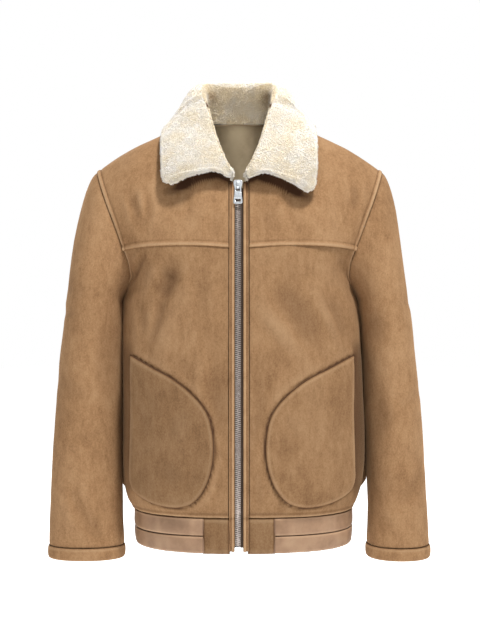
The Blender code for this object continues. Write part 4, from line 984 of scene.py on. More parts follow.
def makeBack():
    value = panelValues
    shares = stepsBetween(0.0, 1.0, value["columns"] - 4, 0.003, 0.0030)
    steps = stepsBetween(0.0, 1.0, value["lowRows"], 1 / 417, 1 / 417)
    rises = stepsBetween(0.0, 1.0, value["highRows"], 1 / 170, 1 / 170)[1:]
    halves = []
    for side in (right, left):
        base = np.concatenate([lowerPoints(side, back, shares, steps),
                               upperPoints(side, back, shares, rises)])
        height, wearAndShade = dressPanel(base, side, back, 60)
        top = fromEdge(base, 0, True)
        low = fromEdge(base, 0, False)
        height = height - 0.7 * np.exp(-top / 1.5)
        height = height + 0.9 * np.exp(-(((low - 3.4) / 3.0) ** 2)) - 0.8 * np.exp(-low / 1.2)
        height = height + pucker(base, low, 53, 0.5, 16.0)
        wearAndShade = wearAndShade - 0.45 * np.exp(-top / 1.3)
        wearAndShade = wearAndShade + 0.45 * np.exp(-(((low - 2.6) / 2.0) ** 2))
        wearAndShade = wearAndShade - 0.35 * np.exp(-(((low - 7.4) / 2.2) ** 2))
        halves.append((base, height, wearAndShade))
    base, height, wearAndShade = (
        np.concatenate([a[:, ::-1], b[:, 1:]], axis=1) for a, b in zip(*halves)
    )
    outer = base + gridNormals(base, np.array([0.0, 1.0, 0.0])) * height[..., None]
    piece = shell("backPanel", outer, (0.0, 1.0, 0.0), value["thick"], suede, wearAndShade)
    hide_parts("back")
    return piece


for side in (right, left):
    makeFront(side)
    makeYoke(side)
makeBack()
print("fronts, yokes and back are made")


# Patch pockets: a puffed face on the front, turned in all round and open at the side edge

def frontSurface(side, spots):
    # the front's own place and outward way at each x, z
    def place(x, z):
        share = np.minimum(0.985, shareOfX(side, z, np.abs(x)))
        return ringPoint(side, front, share, z)

    x, z = spots[..., 0], spots[..., 1]
    here = place(x, z)
    across = place(x + side * 0.6, z) - place(x - side * 0.6, z)
    along = place(x, z + 1.5) - place(x, z - 1.5)
    normal = unit(np.cross(across, along))
    return here, np.where((normal[..., 1:2] < 0), normal, -normal)


def makePocket(side):
    value = pocketValues
    outline = pocketOutline(side)
    centre = outline.mean(axis=0)
    sizes = 1 - np.concatenate([[0.0, 0.008, 0.018, 0.03, 0.045, 0.06, 0.08, 0.10, 0.125, 0.155],
                                np.linspace(0.19, 0.985, 26)])
    spots = centre + (outline[None] - centre) * sizes[:, None, None]
    here, normal = frontSurface(side, spots)
    gap = np.maximum(outlineGap(side, here), 0.0)
    gap[0] = 0.0
    openEdge = smooth(0.80, 0.97, np.abs(outline[:, 0]) / np.abs(outline[:, 0]).max())
    openEdge = (openEdge * smooth(-596.0, -575.0, outline[:, 1])
                * smooth(-388.0, -412.0, outline[:, 1]))
    lifted = value["lip"] * openEdge * np.exp(-gap / 26.0)
    height = value["edgeRise"] + value["puff"] * (1 - np.exp(-gap / value["round"]))
    height = height + value["crown"] * smooth(4.0, 60.0, gap) + lifted
    folds = strokeField(here, (
        (15.0, -2.2, side * 92.0, -590.0, side * 110.0, -560.0, side * 118.0, -540.0),
        (13.0, -1.6, side * 150.0, -470.0, side * 146.0, -530.0),
        (12.0, 1.3, side * 76.0, -470.0, side * 96.0, -520.0),
        (10.0, -1.4, side * 60.0, -560.0, side * 84.0, -600.0),
    ))
    height = height + (folds + clothWaves(here, 80 + side, 0.8)) * smooth(2.0, 18.0, gap)
    height = height - 0.35 * np.exp(-(((gap - value["seamIn"]) / 1.1) ** 2))
    height = height + pucker(here, gap, 88 + side, 0.5, 8.0)
    outer = here + normal * height[..., None]
    # the 0.05 * folds term paints shade into the crease troughs and light onto their ridges
    wearAndShade = (0.05 * folds + 0.10 * lattice(here, 40.0, 91)
            + 0.42 * np.exp(-(((gap - 3.4) / 2.4) ** 2)))
    wearAndShade = wearAndShade - 1.2 * np.exp(-gap / 1.3) * (1 - openEdge * 0.5)
    inner = outer - normal * value["thick"]
    count = len(outline)
    rings = list(outer) + [outer[-1].mean(axis=0)[None]]
    turned = (outer[0] + inner[0]) / 2 + unit(outer[0] - outer[2]) * 0.5
    points = [turned] + rings
    shade = [np.full(count, -0.85)] + list(wearAndShade) + [np.array([0.0])]
    # the underside, which shows in the open side edge, is painted dark as shade
    below = [inner[k] for k in (0, 2, 5, 9)]
    points += below + [inner[9].mean(axis=0)[None] * 0.0 + inner[9].mean(axis=0)]
    shade += [np.full(count, -0.6)] * 4 + [np.array([-0.6])]
    starts = np.cumsum([0] + [len(p) for p in points])
    faces = []

    def band(a, b):
        for j in range(count):
            k = (j + 1) % count
            faces.append((a + j, a + k, b + k, b + j))

    def fan(a, tip):
        faces.extend((a + j, a + (j + 1) % count, tip) for j in range(count))

    last = len(outer)
    for i in range(last):
        band(starts[i], starts[i + 1])
    fan(starts[last], starts[last + 1])
    first = last + 2
    band(starts[0], starts[first])
    for i in range(first, first + 3):
        band(starts[i], starts[i + 1])
    fan(starts[first + 3], starts[first + 4])
    flat = np.concatenate(points)
    mesh = meshOf("pocket" + sideNames[side].title(), flat, faces, np.concatenate(shade))
    # the right pocket takes the darker, shaded copy of the suede and the left one the lighter, lit copy: painted
    # shade and painted light
    piece = finishPiece("pocket" + sideNames[side].title(), mesh,
                        shadedPocketSuede if side == right else litPocketSuede)
    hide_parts("pocket_" + sideNames[side])
    return piece


for side in (right, left):
    makePocket(side)
print("pockets are made")


# Sleeves and cuffs

sleeveValues = {
    "around": 112, "thick": 2.4, "cuffThick": 3.2, "deeper": 1.4,
    "capSteps": (0.0, 0.012, 0.024, 0.04, 0.06, 0.085, 0.115, 0.15, 0.2, 0.26, 0.33, 0.41, 0.5,
                 0.6, 0.7, 0.8, 0.9),
}
# creases of the sleeves, seen from the front and from the back
sleeveCreases = {
    (right, front): (
        (13.0, -2.6, -272.0, -586.0, -254.0, -628.0, -232.0, -670.0),
        (10.0, 1.6, -256.0, -592.0, -238.0, -634.0),
        (9.0, -1.3, -300.0, -284.0, -262.0, -292.0, -236.0, -288.0),
        (8.0, -1.2, -296.0, -318.0, -258.0, -324.0),
        (15.0, -2.0, -206.0, -330.0, -212.0, -400.0, -208.0, -460.0),
        (12.0, -1.6, -292.0, -420.0, -270.0, -446.0, -240.0, -452.0),
        (9.0, -1.4, -212.0, -508.0, -240.0, -520.0, -268.0, -514.0),
        (12.0, -1.8, -286.0, -160.0, -292.0, -230.0),
        (10.0, -1.6, -236.0, -650.0, -220.0, -684.0),
    ),
    (left, front): (
        (13.0, -2.4, 214.0, -430.0, 226.0, -486.0, 216.0, -536.0),
        (10.0, -1.6, 296.0, -440.0, 270.0, -462.0, 240.0, -466.0),
        (9.0, -1.3, 232.0, -300.0, 262.0, -306.0, 292.0, -296.0),
        (14.0, -2.0, 212.0, -320.0, 220.0, -380.0),
        (11.0, -1.8, 292.0, -560.0, 268.0, -600.0, 246.0, -636.0),
        (9.0, 1.4, 280.0, -566.0, 256.0, -604.0),
        (9.0, -1.4, 222.0, -640.0, 238.0, -676.0),
        (12.0, -1.6, 282.0, -150.0, 292.0, -220.0),
    ),
}
sleeveCreases[right, back] = tuple(
    (w, d, *(v + (9.0 if k % 2 == 0 else -14.0) for k, v in enumerate(path)))
    for w, d, *path in sleeveCreases[right, front]
)
sleeveCreases[left, back] = tuple(
    (w, d, *(v + (-8.0 if k % 2 == 0 else 17.0) for k, v in enumerate(path)))
    for w, d, *path in sleeveCreases[left, front]
)


def bodyBeside(side, face, angle, share=0.985):
    first = armAngle(cut["yokeSeamZ"])
    low = ringPoint(side, face, share, armHeight(np.minimum(angle, first)))
    rise = np.clip((angle - first) / (math.pi / 2 - first), 0.0, 1.0)
    return np.where((angle > first)[..., None], upperPoint(side, face, share, rise), low)


def makeSleeve(side):
    value = sleeveValues
    angle, faces = aroundSleeve(value["around"])
    topZ = -304.0

    def both(make):
        return byFace(faces, make)

    start = both(lambda face: armholePoint(side, face, angle)) + np.array([side * 0.45, 0.0, 0.0])
    end = both(lambda face: sleevePoint(side, face, angle, topZ))
    before = both(lambda face: bodyBeside(side, face, angle))
    below = both(lambda face: sleevePoint(side, face, angle, topZ - 8))
    carryOn = unit(start - before)
    low = smooth(0.2, -0.9, np.sin(angle))
    own = unit(stack(side * (0.62 + 0.3 * low), faces * 0.35 * np.cos(angle), 0.25 * low - 0.7))
    atTop = smooth(0.45, 0.95, np.sin(angle))[:, None]
    leave = unit(own * (1 - atTop) + carryOn * atTop)
    reach = np.linalg.norm(end - start, axis=-1, keepdims=True)
    cap = [hermite(start, end, leave * reach * 0.42, unit(below - end) * reach, step)
           for step in value["capSteps"]]
    heights = np.concatenate([np.linspace(topZ, cut["cuffSeamZ"] + 10, 104),
                              cut["cuffSeamZ"] + np.array([8.4, 6.8, 5.4, 4.2, 3.0, 2.0, 1.0, 0.0])])
    tube = [both(lambda face, z=z: sleevePoint(side, face, angle, z)) for z in heights]
    base = np.stack(cap + tube)
    slack = (sideEase(side, base[..., 2], easeValues["sleeveShare"])
             * smooth(-0.1, -0.9, np.sin(angle))[None])
    base[..., 0] -= side * slack * smooth(topZ + 10, topZ - 12, base[..., 2])
    faceGrid = np.broadcast_to(faces, base.shape[:2])
    folds = np.where(faceGrid == front, strokeField(base, sleeveCreases[side, front]),
                     strokeField(base, sleeveCreases[side, back]))
    turned = base - np.array([0.0, read(sleeveTable[side], "middleY", -400.0), 0.0])
    facing = np.abs(unit(turned * np.array([0.0, 1.0, 0.0])
                         + np.array([side * 60.0, 0.0, 0.0]))[..., 1])
    folds = folds * (0.35 + 0.65 * facing) * value["deeper"]
    capGap = fromEdge(base, 0, False)
    hemGap = fromEdge(base, 0, True)
    waves = clothWaves(base, 120 + side, 0.85)
    calm = smooth(0.0, 14.0, capGap) * (0.3 + 0.7 * smooth(0.0, 14.0, hemGap))
    inner = np.minimum(np.arange(value["around"]), value["around"] - np.arange(value["around"]))
    seam = np.exp(-((inner * 3.9 / 1.9) ** 2))[None]
    height = (folds + waves) * calm - 0.9 * np.exp(-capGap / 2.2) - 0.7 * np.exp(-hemGap / 1.4)
    height = height + 0.35 * lattice(base, 9.0, 131) * np.exp(-capGap / 9.0) - 0.7 * seam
    height = height + pucker(base, hemGap, 133, 0.35, 9.0)
    # the 0.05 * folds term paints shade into the crease troughs and light onto their ridges
    wearAndShade = 0.05 * folds + 0.10 * lattice(base, 52.0, 127) - 0.75 * np.exp(-capGap / 1.8)
    wearAndShade = wearAndShade - 0.6 * np.exp(-hemGap / 1.5) - 0.4 * seam
    outer = (base + gridNormals(base, base - base.mean(axis=1, keepdims=True), True)
             * height[..., None])
    outward = outer - outer.mean(axis=1, keepdims=True)
    piece = shell("sleeve" + sideNames[side].title(), outer, outward, value["thick"], suede,
                  wearAndShade, wrap=True)
    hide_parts("sleeve_" + sideNames[side])
    makeCuff(side, angle, faces)


def makeCuff(side, angle, faces):
    seamZ, hemZ = cut["cuffSeamZ"] - 0.15, cut["cuffHemZ"]
    profile = makeTable(("share", "grow"), ((0.0, -0.6), (0.05, 0.5), (0.18, 1.8), (0.55, 2.2),
                                            (0.88, 1.4), (0.96, 0.3), (1.0, -1.2)))
    shares = np.concatenate([[0, 0.03, 0.07, 0.12, 0.18], np.linspace(0.26, 0.86, 8),
                             [0.91, 0.95, 0.98, 1.0]])
    rows = []
    for share in shares:
        grow = float(read(profile, "grow", share))
        ring = byFace(faces, lambda face: sleevePoint(side, face, angle, cut["cuffSeamZ"], grow))
        ring[:, 2] = seamZ + (hemZ - seamZ) * share
        rows.append(ring)
    base = np.stack(rows)
    inner = np.minimum(np.arange(len(angle)), len(angle) - np.arange(len(angle)))
    seam = np.exp(-((inner * 2.6 / 1.6) ** 2))[None]
    height = 0.45 * lattice(base * np.array([1.0, 1.0, 0.4]), 10.0, 141 + side) - 0.6 * seam
    outward = base - base.mean(axis=1, keepdims=True)
    height = height * np.sin(math.pi * shares)[:, None]
    outer = base + gridNormals(base, outward, True) * height[..., None]
    wearAndShade = 0.30 * np.exp(-(((shares - 0.16) / 0.09) ** 2)) - 0.6 * np.exp(-shares / 0.03)
    wearAndShade = wearAndShade + 0.22 * np.exp(-(((shares - 0.93) / 0.06) ** 2))
    wearAndShade = wearAndShade[:, None] - 0.4 * seam + 0.12 * lattice(base, 18.0, 143)
    piece = shell("cuff" + sideNames[side].title(), outer, outward, sleeveValues["cuffThick"],
                  suede, wearAndShade, wrap=True, reach=2.2)
    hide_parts("cuff_" + sideNames[side])


for side in (right, left):
    makeSleeve(side)
print("sleeves and cuffs are made")


# Hem band: suede tabs beside the zip, and two strips of smooth leather round to the back

bandValues = {"thick": 3.0, "rim": 2.0, "puff": ((0.0, -0.4), (0.05, 0.5), (0.14, 1.2), (0.5, 1.7),
                                     (0.86, 1.2), (0.95, 0.5), (1.0, -0.4))}
puffTable = makeTable(("share", "puff"), bandValues["puff"])


def bandGrid(side, face, shares, lowZ, highZ, rows):
    share, up = np.meshgrid(shares, rows)
    return ringPoint(side, face, share, lowZ + (highZ - lowZ) * up)


def bandDress(base, rows, lowZ, highZ, seed, outward):
    up = np.asarray(rows)[:, None]
    normal = gridNormals(base, outward)
    normal = unit(normal * np.array([1.0, 1.0, 0.0]))
    gathers = lattice(base * np.array([1.0, 1.0, 0.22]), 9.0, seed)
    height = read(puffTable, "puff", up) + 0.34 * gathers * np.sin(math.pi * up) ** 0.5
    height = height + 0.5 * lattice(base, 42.0, seed + 3) * np.sin(math.pi * up)
    wearAndShade = 0.42 * (np.exp(-(((up - 0.93) / 0.05) ** 2))
                   + 0.7 * np.exp(-(((up - 0.07) / 0.05) ** 2)))
    # the 0.14 * gathers term paints shade into the gathers' hollows and light onto their puffs
    wearAndShade = wearAndShade + 0.14 * gathers + 0.12 * lattice(base, 30.0, seed + 5) + np.zeros(base.shape[:2])
    return base + normal * height[..., None], wearAndShade


bandRows = np.concatenate([[0, 0.02, 0.045, 0.075, 0.11, 0.15], np.linspace(0.2, 0.8, 9),
                           [0.85, 0.89, 0.925, 0.955, 0.98, 1.0]])


def makeTab(side):
    lowZ, highZ = cut["hemZ"], cut["hemSeamZ"] - 0.15
    shares = np.linspace(xShare(cut["edgeOutX"] + 0.2), xShare(cut["tabX"] - 0.2), 22)
    base = bandGrid(side, front, shares, lowZ, highZ, bandRows)
    outer, wearAndShade = bandDress(base, bandRows, lowZ, highZ, 151 + side, np.array([0.0, -1.0, 0.0]))
    sides = np.minimum(fromEdge(outer, 1, False), fromEdge(outer, 1, True))
    wearAndShade = wearAndShade - 0.5 * np.exp(-sides / 1.0)
    # the hem tabs take the darker copy of the suede: painted shade
    piece = shell("hemTab" + sideNames[side].title(), outer, (0.0, -1.0, 0.0),
                  bandValues["thick"], shadedPocketSuede, wearAndShade, reach=bandValues["rim"])
    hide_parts("hem_tab_" + sideNames[side])


def makeBandStrip(name, node, lowZ, highZ, seed):
    foreShares = np.linspace(xShare(cut["tabX"] + 0.2), 1.0, 56)
    aftShares = np.linspace(1.0, 0.0, 64)[1:]
    rows = bandRows
    halves = []
    for side in (right, left):
        base = np.concatenate([bandGrid(side, front, foreShares, lowZ, highZ, rows),
                               bandGrid(side, back, aftShares, lowZ, highZ, rows)], axis=1)
        halves.append(base)
    base = np.concatenate([halves[0], halves[1][:, ::-1][:, 1:]], axis=1)
    outward = base - np.array([0.0, 0.0, 1.0]) * base[..., 2:3]
    outer, wearAndShade = bandDress(base, rows, lowZ, highZ, seed, outward)
    ends = np.minimum(fromEdge(outer, 1, False), fromEdge(outer, 1, True))
    wearAndShade = wearAndShade - 0.5 * np.exp(-ends / 1.0)
    piece = shell(name, outer, outward, bandValues["thick"], smoothLeather, wearAndShade, dark=-0.45,
                  reach=bandValues["rim"])
    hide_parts(node)


for side in (right, left):
    makeTab(side)
makeBandStrip("hemStripUpper", "hem_band_upper", cut["bandSeamZ"] + 0.2,
              cut["hemSeamZ"] - 0.15, 161)
makeBandStrip("hemStripLower", "hem_band_lower", cut["hemZ"], cut["bandSeamZ"] - 0.2, 171)
print("hem band is made")


# Neck lining, which shows in the collar's opening

def makeNeckLining():
    shares = np.linspace(0.0, 0.4, 26)
    rises = np.linspace(0.44, 1.0, 30)
    halves = [upperPoints(side, back, shares, rises) for side in (right, left)]
    base = np.concatenate([halves[0][:, ::-1], halves[1][:, 1:]], axis=1)
    normal = gridNormals(base, np.array([0.0, 1.0, 0.0]))
    outer = base - normal * (5.5 + cut["liningLift"] + 1.5)
    short = fromEdge(outer, 0, True)
    outer = outer + unit(outer[-2] - outer[-1])[None] * (-2.4 * (1 - smooth(0.0, 9.0, short)))[..., None]
    ends = fromEdge(outer, 1, False), fromEdge(outer, 1, True)
    wave = clothWaves(outer, 181, 0.5) * smooth(0.0, 12.0, np.minimum(*ends))
    facing = gridNormals(outer, np.array([0.0, -1.0, 0.0]))
    outer = outer + facing * (wave * 0.6)[..., None]
    # the top edge is painted dark, as the shade under the collar's fur
    wearAndShade = 0.16 * lattice(outer, 34.0, 185) - 0.95 * np.exp(-short / 4.0)
    piece = shell("neckFacing", outer, (0.0, -1.0, 0.0), 1.5, liningLeather, wearAndShade)
    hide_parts("neck_lining")


makeNeckLining()


# Front edges, tapes and zip, along the line of the front's middle

def centreLine(count):
    # the front's middle line from the hem's edge up to the neck, evenly spaced
    ring = ringPoint(right, front, 0.0, np.linspace(cut["hemZ"], float(seamHeight(front, 0.0)), 500))
    high = upperPoint(right, front, 0.0, np.linspace(0.0, 1.0, 200)[1:])
    line = np.concatenate([ring, high])
    line[:, 0] = 0.0
    run = np.concatenate([[0.0], np.cumsum(np.linalg.norm(np.diff(line, axis=0), axis=1))])
    at = np.linspace(0.0, run[-1], count)
    return np.stack([np.interp(at, run, line[:, k]) for k in range(3)], axis=-1)


def outOf(line):
    way = unit(np.gradient(line, axis=0))
    return unit(np.stack([np.zeros(len(line)), -way[:, 2], way[:, 1]], axis=-1)), way


edgeValues = {"thick": 3.0, "stitchX": 12.3, "stitchLong": 2.6, "stitchStep": 3.4, "columns": 19,
              "rows": 330, "topReach": 5.0, "topOut": 0.4, "topShade": 1.3}


def edgeHeight(x):
    # a rolled edge at the zip, a stitched groove and a flatter strip beside it
    roll = 1.5 * np.exp(-(((x - 9.0) / 2.4) ** 4))
    strip = 0.7 * np.exp(-(((x - 14.1) / 1.2) ** 4))
    return roll + strip - 0.5 * np.exp(-(((x - edgeValues["stitchX"]) / 0.8) ** 2)) - 0.2


def makeFrontEdge(side):
    value = edgeValues
    line = centreLine(value["rows"])
    normal, _ = outOf(line)
    xs = np.linspace(cut["edgeInX"] + 0.1, cut["edgeOutX"] - 0.1, value["columns"])
    z = line[:, 2]
    grid = np.repeat(line[:, None], len(xs), axis=1)
    share = xShare(xs)[None] * np.ones((len(z), 1))
    ring = ringPoint(side, front, np.clip(share, 0.0, 1.0),
                     np.minimum(z, cut["yokeSeamZ"])[:, None])
    grid[..., 1] = np.where(z[:, None] <= cut["yokeSeamZ"], ring[..., 1],
                            grid[..., 1] + 0.012 * (xs[None] - 6) ** 1.2)
    grid[..., 0] = side * xs[None]
    up = edgeHeight(xs)[None] + 0.25 * lattice(grid * np.array([0.3, 1.0, 1.0]), 9.0, 201 + side)
    outer = grid + normal[:, None] * up[..., None]
    grooves = np.exp(-(((xs - value["stitchX"]) / 0.8) ** 2))
    wearAndShade = (0.5 * np.exp(-(((xs - 9.4) / 1.6) ** 2)) - 0.6 * grooves
            - 0.35 * np.exp(-((xs - 6.2) / 0.9)))
    seams = np.exp(-(((z - cut["hemSeamZ"]) / 1.2) ** 2))[:, None]
    outer = outer - normal[:, None] * (0.7 * seams)[..., None]
    wearAndShade = wearAndShade[None] - 0.5 * seams + 0.14 * lattice(grid, 13.0, 207)
    outer = outer[2:-2]
    # the top ends reach up under the collar and are painted dark there, as its shade
    shaded = np.exp((z - z[-3]) / 3.0)[2:-2, None]
    outer = outer + np.array([0.0, value["topOut"], value["topReach"]]) * shaded[..., None]
    wearAndShade[2:-2] -= value["topShade"] * shaded
    piece = shell("zipEdge" + sideNames[side].title(), outer, (0.0, -1.0, 0.0), value["thick"],
                  suede, wearAndShade[2:-2], dark=-0.45)
    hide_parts("front_edge_" + sideNames[side])
    makeStitches(side)


def beadMesh(centres, ways, normals, half, corner=0.55):
    # small rounded blocks: eight-sided prisms with drawn-in ends, one at each centre
    ways, normals = unit(ways), unit(normals)
    across = np.cross(ways, normals)
    rings = ((-1.0, corner), (-0.72, 1.0), (0.72, 1.0), (1.0, corner))
    angles = np.radians((22.5, 67.5, 112.5, 157.5, 202.5, 247.5, 292.5, 337.5))
    ring = []
    for along, wide in rings:
        for angle in angles:
            square = 1 / max(abs(math.cos(angle)), abs(math.sin(angle))) * 0.93
            ring.append(ways * along * half[0] + across * (math.cos(angle) * square * wide * half[1])
                        + normals * (math.sin(angle) * square * wide * half[2]))
    points = centres[:, None] + np.stack(ring, axis=1)
    faces = []
    for k in range(len(centres)):
        base = k * 32
        for i in range(3):
            for j in range(8):
                a, b = base + i * 8 + j, base + i * 8 + (j + 1) % 8
                faces.append((a, b, b + 8, a + 8))
        faces.append(tuple(base + j for j in range(7, -1, -1)))
        faces.append(tuple(base + 24 + j for j in range(8)))
    return points.reshape(-1, 3), faces


def makeStitches(side):
    value = edgeValues
    count = int(575 / value["stitchStep"])
    line = centreLine(count + 8)[4:-4]
    normal, way = outOf(line)
    share = xShare(value["stitchX"])
    z = np.minimum(line[:, 2], cut["yokeSeamZ"])
    line = line.copy()
    line[:, 1] = np.where(line[:, 2] <= cut["yokeSeamZ"], ringPoint(side, front, share, z)[:, 1],
                          line[:, 1] + 0.1)
    line[:, 0] = side * value["stitchX"]
    line = line + normal * (edgeHeight(value["stitchX"]) + 0.35)
    points, faces = beadMesh(line, way, normal, (value["stitchLong"] / 2, 0.32, 0.28))
    mesh = meshOf("edgeStitches" + sideNames[side].title(), points, faces)
    finishPiece("edgeStitches" + sideNames[side].title(), mesh, thread)


def makeTape(side):
    line = centreLine(260)[4:-3]
    normal, _ = outOf(line)
    xs = np.linspace(0.15, 15.0 + side * cut["zipX"] - 0.3, 9)
    grid = np.repeat(line[:, None], len(xs), axis=1)
    grid[..., 0] = cut["zipX"] + side * xs[None]
    outer = grid - normal[:, None] * 4.2
    piece = shell("zipTape" + sideNames[side].title(), outer, (0.0, -1.0, 0.0), 1.0, tapeCloth, 0.0)
    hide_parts("zip_tape_" + sideNames[side])


chainValues = {"pitch": 3.1, "toothHalf": 2.75, "offset": 1.7, "depth": 2.1, "thick": 0.92}


def makeChain():
    # two rows of teeth that lock into each other, half a step apart
    value = chainValues
    line = centreLine(2000)
    run = np.concatenate([[0.0], np.cumsum(np.linalg.norm(np.diff(line, axis=0), axis=1))])
    normal, way = outOf(line)
    startZ, endZ = -679.0, -121.5
    low = np.interp(startZ, line[:, 2], run)
    high = np.interp(endZ, line[:, 2], run)
    steps = np.arange(low, high, value["pitch"] / 2)

    def along(values):
        return np.stack([np.interp(steps, run, values[:, k]) for k in range(3)], axis=-1)

    centre, normals, ways = along(line), along(normal), along(way)
    turn = np.where(np.arange(len(steps)) % 2 == 0, 1.0, -1.0)
    centre = centre - normals * value["depth"]
    centre[:, 0] = cut["zipX"] + turn * value["offset"]
    lean = unit(ways + np.array([1.0, 0.0, 0.0]) * (turn * 0.24)[:, None])
    body, faces = beadMesh(centre, lean, normals, (value["thick"], value["toothHalf"], 1.25))
    root = centre - normals * 0.2
    root[:, 0] = cut["zipX"] + turn * (value["offset"] + 2.0)
    grip, gripFaces = beadMesh(root, ways, normals, (1.05, 0.75, 1.5))
    faces += [tuple(v + len(body) for v in face) for face in gripFaces]
    mesh = meshOf("zipTeeth", np.concatenate([body, grip]), faces)
    mesh.materials.append(zipMetal)
    for polygon in mesh.polygons:
        polygon.use_smooth = False
    piece = bpy.data.objects.new("zipTeeth", mesh)
    bpy.context.scene.collection.objects.link(piece)
    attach(piece, "jacket")
    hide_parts("zip_chain")


def inFixedOrder(mesh):
    # the bevel gives its points and faces in an order that changes from run to run
    spots = [tuple(vertex.co) for vertex in mesh.vertices]
    order = sorted(range(len(spots)), key=lambda k: tuple(round(v, 7) for v in spots[k]))
    newPlace = {old: new for new, old in enumerate(order)}
    faces = []
    for polygon in mesh.polygons:
        ring = [newPlace[k] for k in polygon.vertices]
        first = ring.index(min(ring))
        faces.append(tuple(ring[first:] + ring[:first]))
    tidied = bpy.data.meshes.new(mesh.name)
    tidied.from_pydata([spots[k] for k in order], [], sorted(faces))
    return tidied


def roundedSolid(name, outline, low, high, bevel, holes=(), frame=None, material=None,
                 body="jacket"):
    # a plate with bevelled edges, cut from an outline of x, z, between two depths
    def block(shape, near, far):
        work = bmesh.new()
        verts = [work.verts.new((x * mm, near * mm, z * mm)) for x, z in shape]
        made = bmesh.ops.extrude_face_region(work, geom=[work.faces.new(verts)])
        moved = [v for v in made["geom"] if isinstance(v, bmesh.types.BMVert)]
        bmesh.ops.translate(work, verts=moved, vec=(0.0, (far - near) * mm, 0.0))
        bmesh.ops.recalc_face_normals(work, faces=work.faces[:])
        mesh = bpy.data.meshes.new(name)
        work.to_mesh(mesh)
        work.free()
        obj = bpy.data.objects.new(name, mesh)
        bpy.context.scene.collection.objects.link(obj)
        return obj

    piece = block(outline, low, high)
    cutters = [block(hole, low - 5, high + 5) for hole in holes]
    for cutter in cutters:
        tool = piece.modifiers.new("opening", "BOOLEAN")
        tool.operation, tool.object, tool.solver = "DIFFERENCE", cutter, "EXACT"
    edge = piece.modifiers.new("edge", "BEVEL")
    edge.width, edge.segments, edge.limit_method = bevel * mm, 3, "ANGLE"
    graph = bpy.context.evaluated_depsgraph_get()
    mesh = inFixedOrder(bpy.data.meshes.new_from_object(piece.evaluated_get(graph)))
    piece.modifiers.clear()
    piece.data = mesh
    for cutter in cutters:
        bpy.data.objects.remove(cutter, do_unlink=True)
    if frame is not None:
        mesh.transform(frame)
    mesh.materials.clear()
    mesh.materials.append(material)
    return piece


def joined(name, pieces, material, body):
    work = bmesh.new()
    for piece in pieces:
        work.from_mesh(piece.data)
        bpy.data.objects.remove(piece, do_unlink=True)
    mesh = bpy.data.meshes.new(name)
    work.to_mesh(mesh)
    work.free()
    mesh.materials.append(material)
    piece = bpy.data.objects.new(name, mesh)
    bpy.context.scene.collection.objects.link(piece)
    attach(piece, body)
    return piece


sliderValues = {"place": (-1.5, -95.694, -120.5), "turn": -0.289, "hinge": (0.0, -4.8, -4.0)}


def mirrored(half):
    return [(x, z) for x, z in half] + [(-x, z) for x, z in reversed(half)]


def makeSlider():
    value = sliderValues
    frameAt = (Matrix.Translation(Vector(value["place"]) * mm)
               @ Matrix.Rotation(value["turn"], 4, "X"))
    sideways = frameAt @ Matrix.Rotation(math.pi / 2, 4, "Z")
    plate = mirrored([(4.2, 7.5), (6.0, 6.9), (7.0, 5.0), (7.0, 1.0), (5.9, -4.6), (4.6, -7.0),
                      (3.4, -7.5)])
    parts = [roundedSolid("plate", plate, -3.3, -1.7, 0.35, (), frameAt, sliderMetal)]
    core = mirrored([(3.0, 6.6), (4.4, 5.0), (4.2, -5.6), (2.6, -6.6)])
    parts.append(roundedSolid("core", core, -1.9, 0.9, 0.25, (), frameAt, sliderMetal))
    for side in (right, left):
        rail = [(side * 5.7, 5.4), (side * 7.0, 4.9), (side * 6.9, 1.0), (side * 5.9, -4.2),
                (side * 4.9, -4.2)]
        parts.append(roundedSolid("rail", rail, -2.6, -0.5, 0.2, (), frameAt, sliderMetal))
    bridge = [(-2.9, 5.2), (-5.4, 4.9), (-7.1, 3.4), (-7.6, 1.4), (-7.6, -3.8), (-7.1, -5.8),
              (-5.6, -7.0), (-2.9, -7.1)]
    hole = [(-2.0, 3.4), (-5.2, 3.4), (-6.3, 2.2), (-6.4, -4.0), (-5.8, -5.6), (-2.0, -5.6)]
    parts.append(roundedSolid("bridge", bridge, -1.6, 1.6, 0.45, (hole,), sideways, sliderMetal))
    piece = joined("zipSlider", parts, sliderMetal, "jacket")
    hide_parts("zip_slider")

    hinge = frameAt @ Matrix.Translation(Vector(value["hinge"]) * mm)
    tab = mirrored([(4.2, 1.0), (5.2, 0.1), (5.2, -8.6), (5.4, -10.4), (6.9, -23.0), (7.0, -27.6),
                    (6.3, -29.0), (5.0, -29.5)])
    eye = mirrored([(2.5, -0.75), (3.1, -1.5), (3.1, -7.4), (2.5, -8.2)])
    window = mirrored([(3.9, -21.4), (4.3, -21.8), (4.3, -25.6), (3.9, -26.0)])
    plates = [roundedSolid("tab", tab, -0.75, 0.75, 0.3, (eye, window), hinge, sliderMetal)]
    rim = mirrored([(4.2, -10.9), (4.9, -11.5), (5.9, -19.2), (5.5, -19.9)])
    plates.append(roundedSolid("rim", rim, -1.05, -0.4, 0.28, (), hinge, sliderMetal))
    pull = joined("zipPull", plates, sliderMetal, "pull")
    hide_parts("zip_pull")

    y = float(ringPoint(right, front, 0.0, -689.0)[1])
    box = [(-4.4, 0.5), (-3.9, 0.0), (3.9, 0.0), (4.4, 0.5), (4.4, 8.2), (3.7, 9.0),
           (-3.7, 9.0), (-4.4, 8.2)]
    at = Matrix.Translation(Vector((cut["zipX"], y, -689.0)) * mm)
    parts = [roundedSolid("box", box, -2.0, 1.9, 0.4, (), at, sliderMetal)]
    ridge = [(-2.6, 2.0), (2.6, 2.0), (2.6, 6.8), (-2.6, 6.8)]
    parts.append(roundedSolid("ridge", ridge, -2.5, -1.6, 0.3, (), at, sliderMetal))
    endBox = joined("zipEndBox", parts, sliderMetal, "jacket")
    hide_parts("zip_end_box")


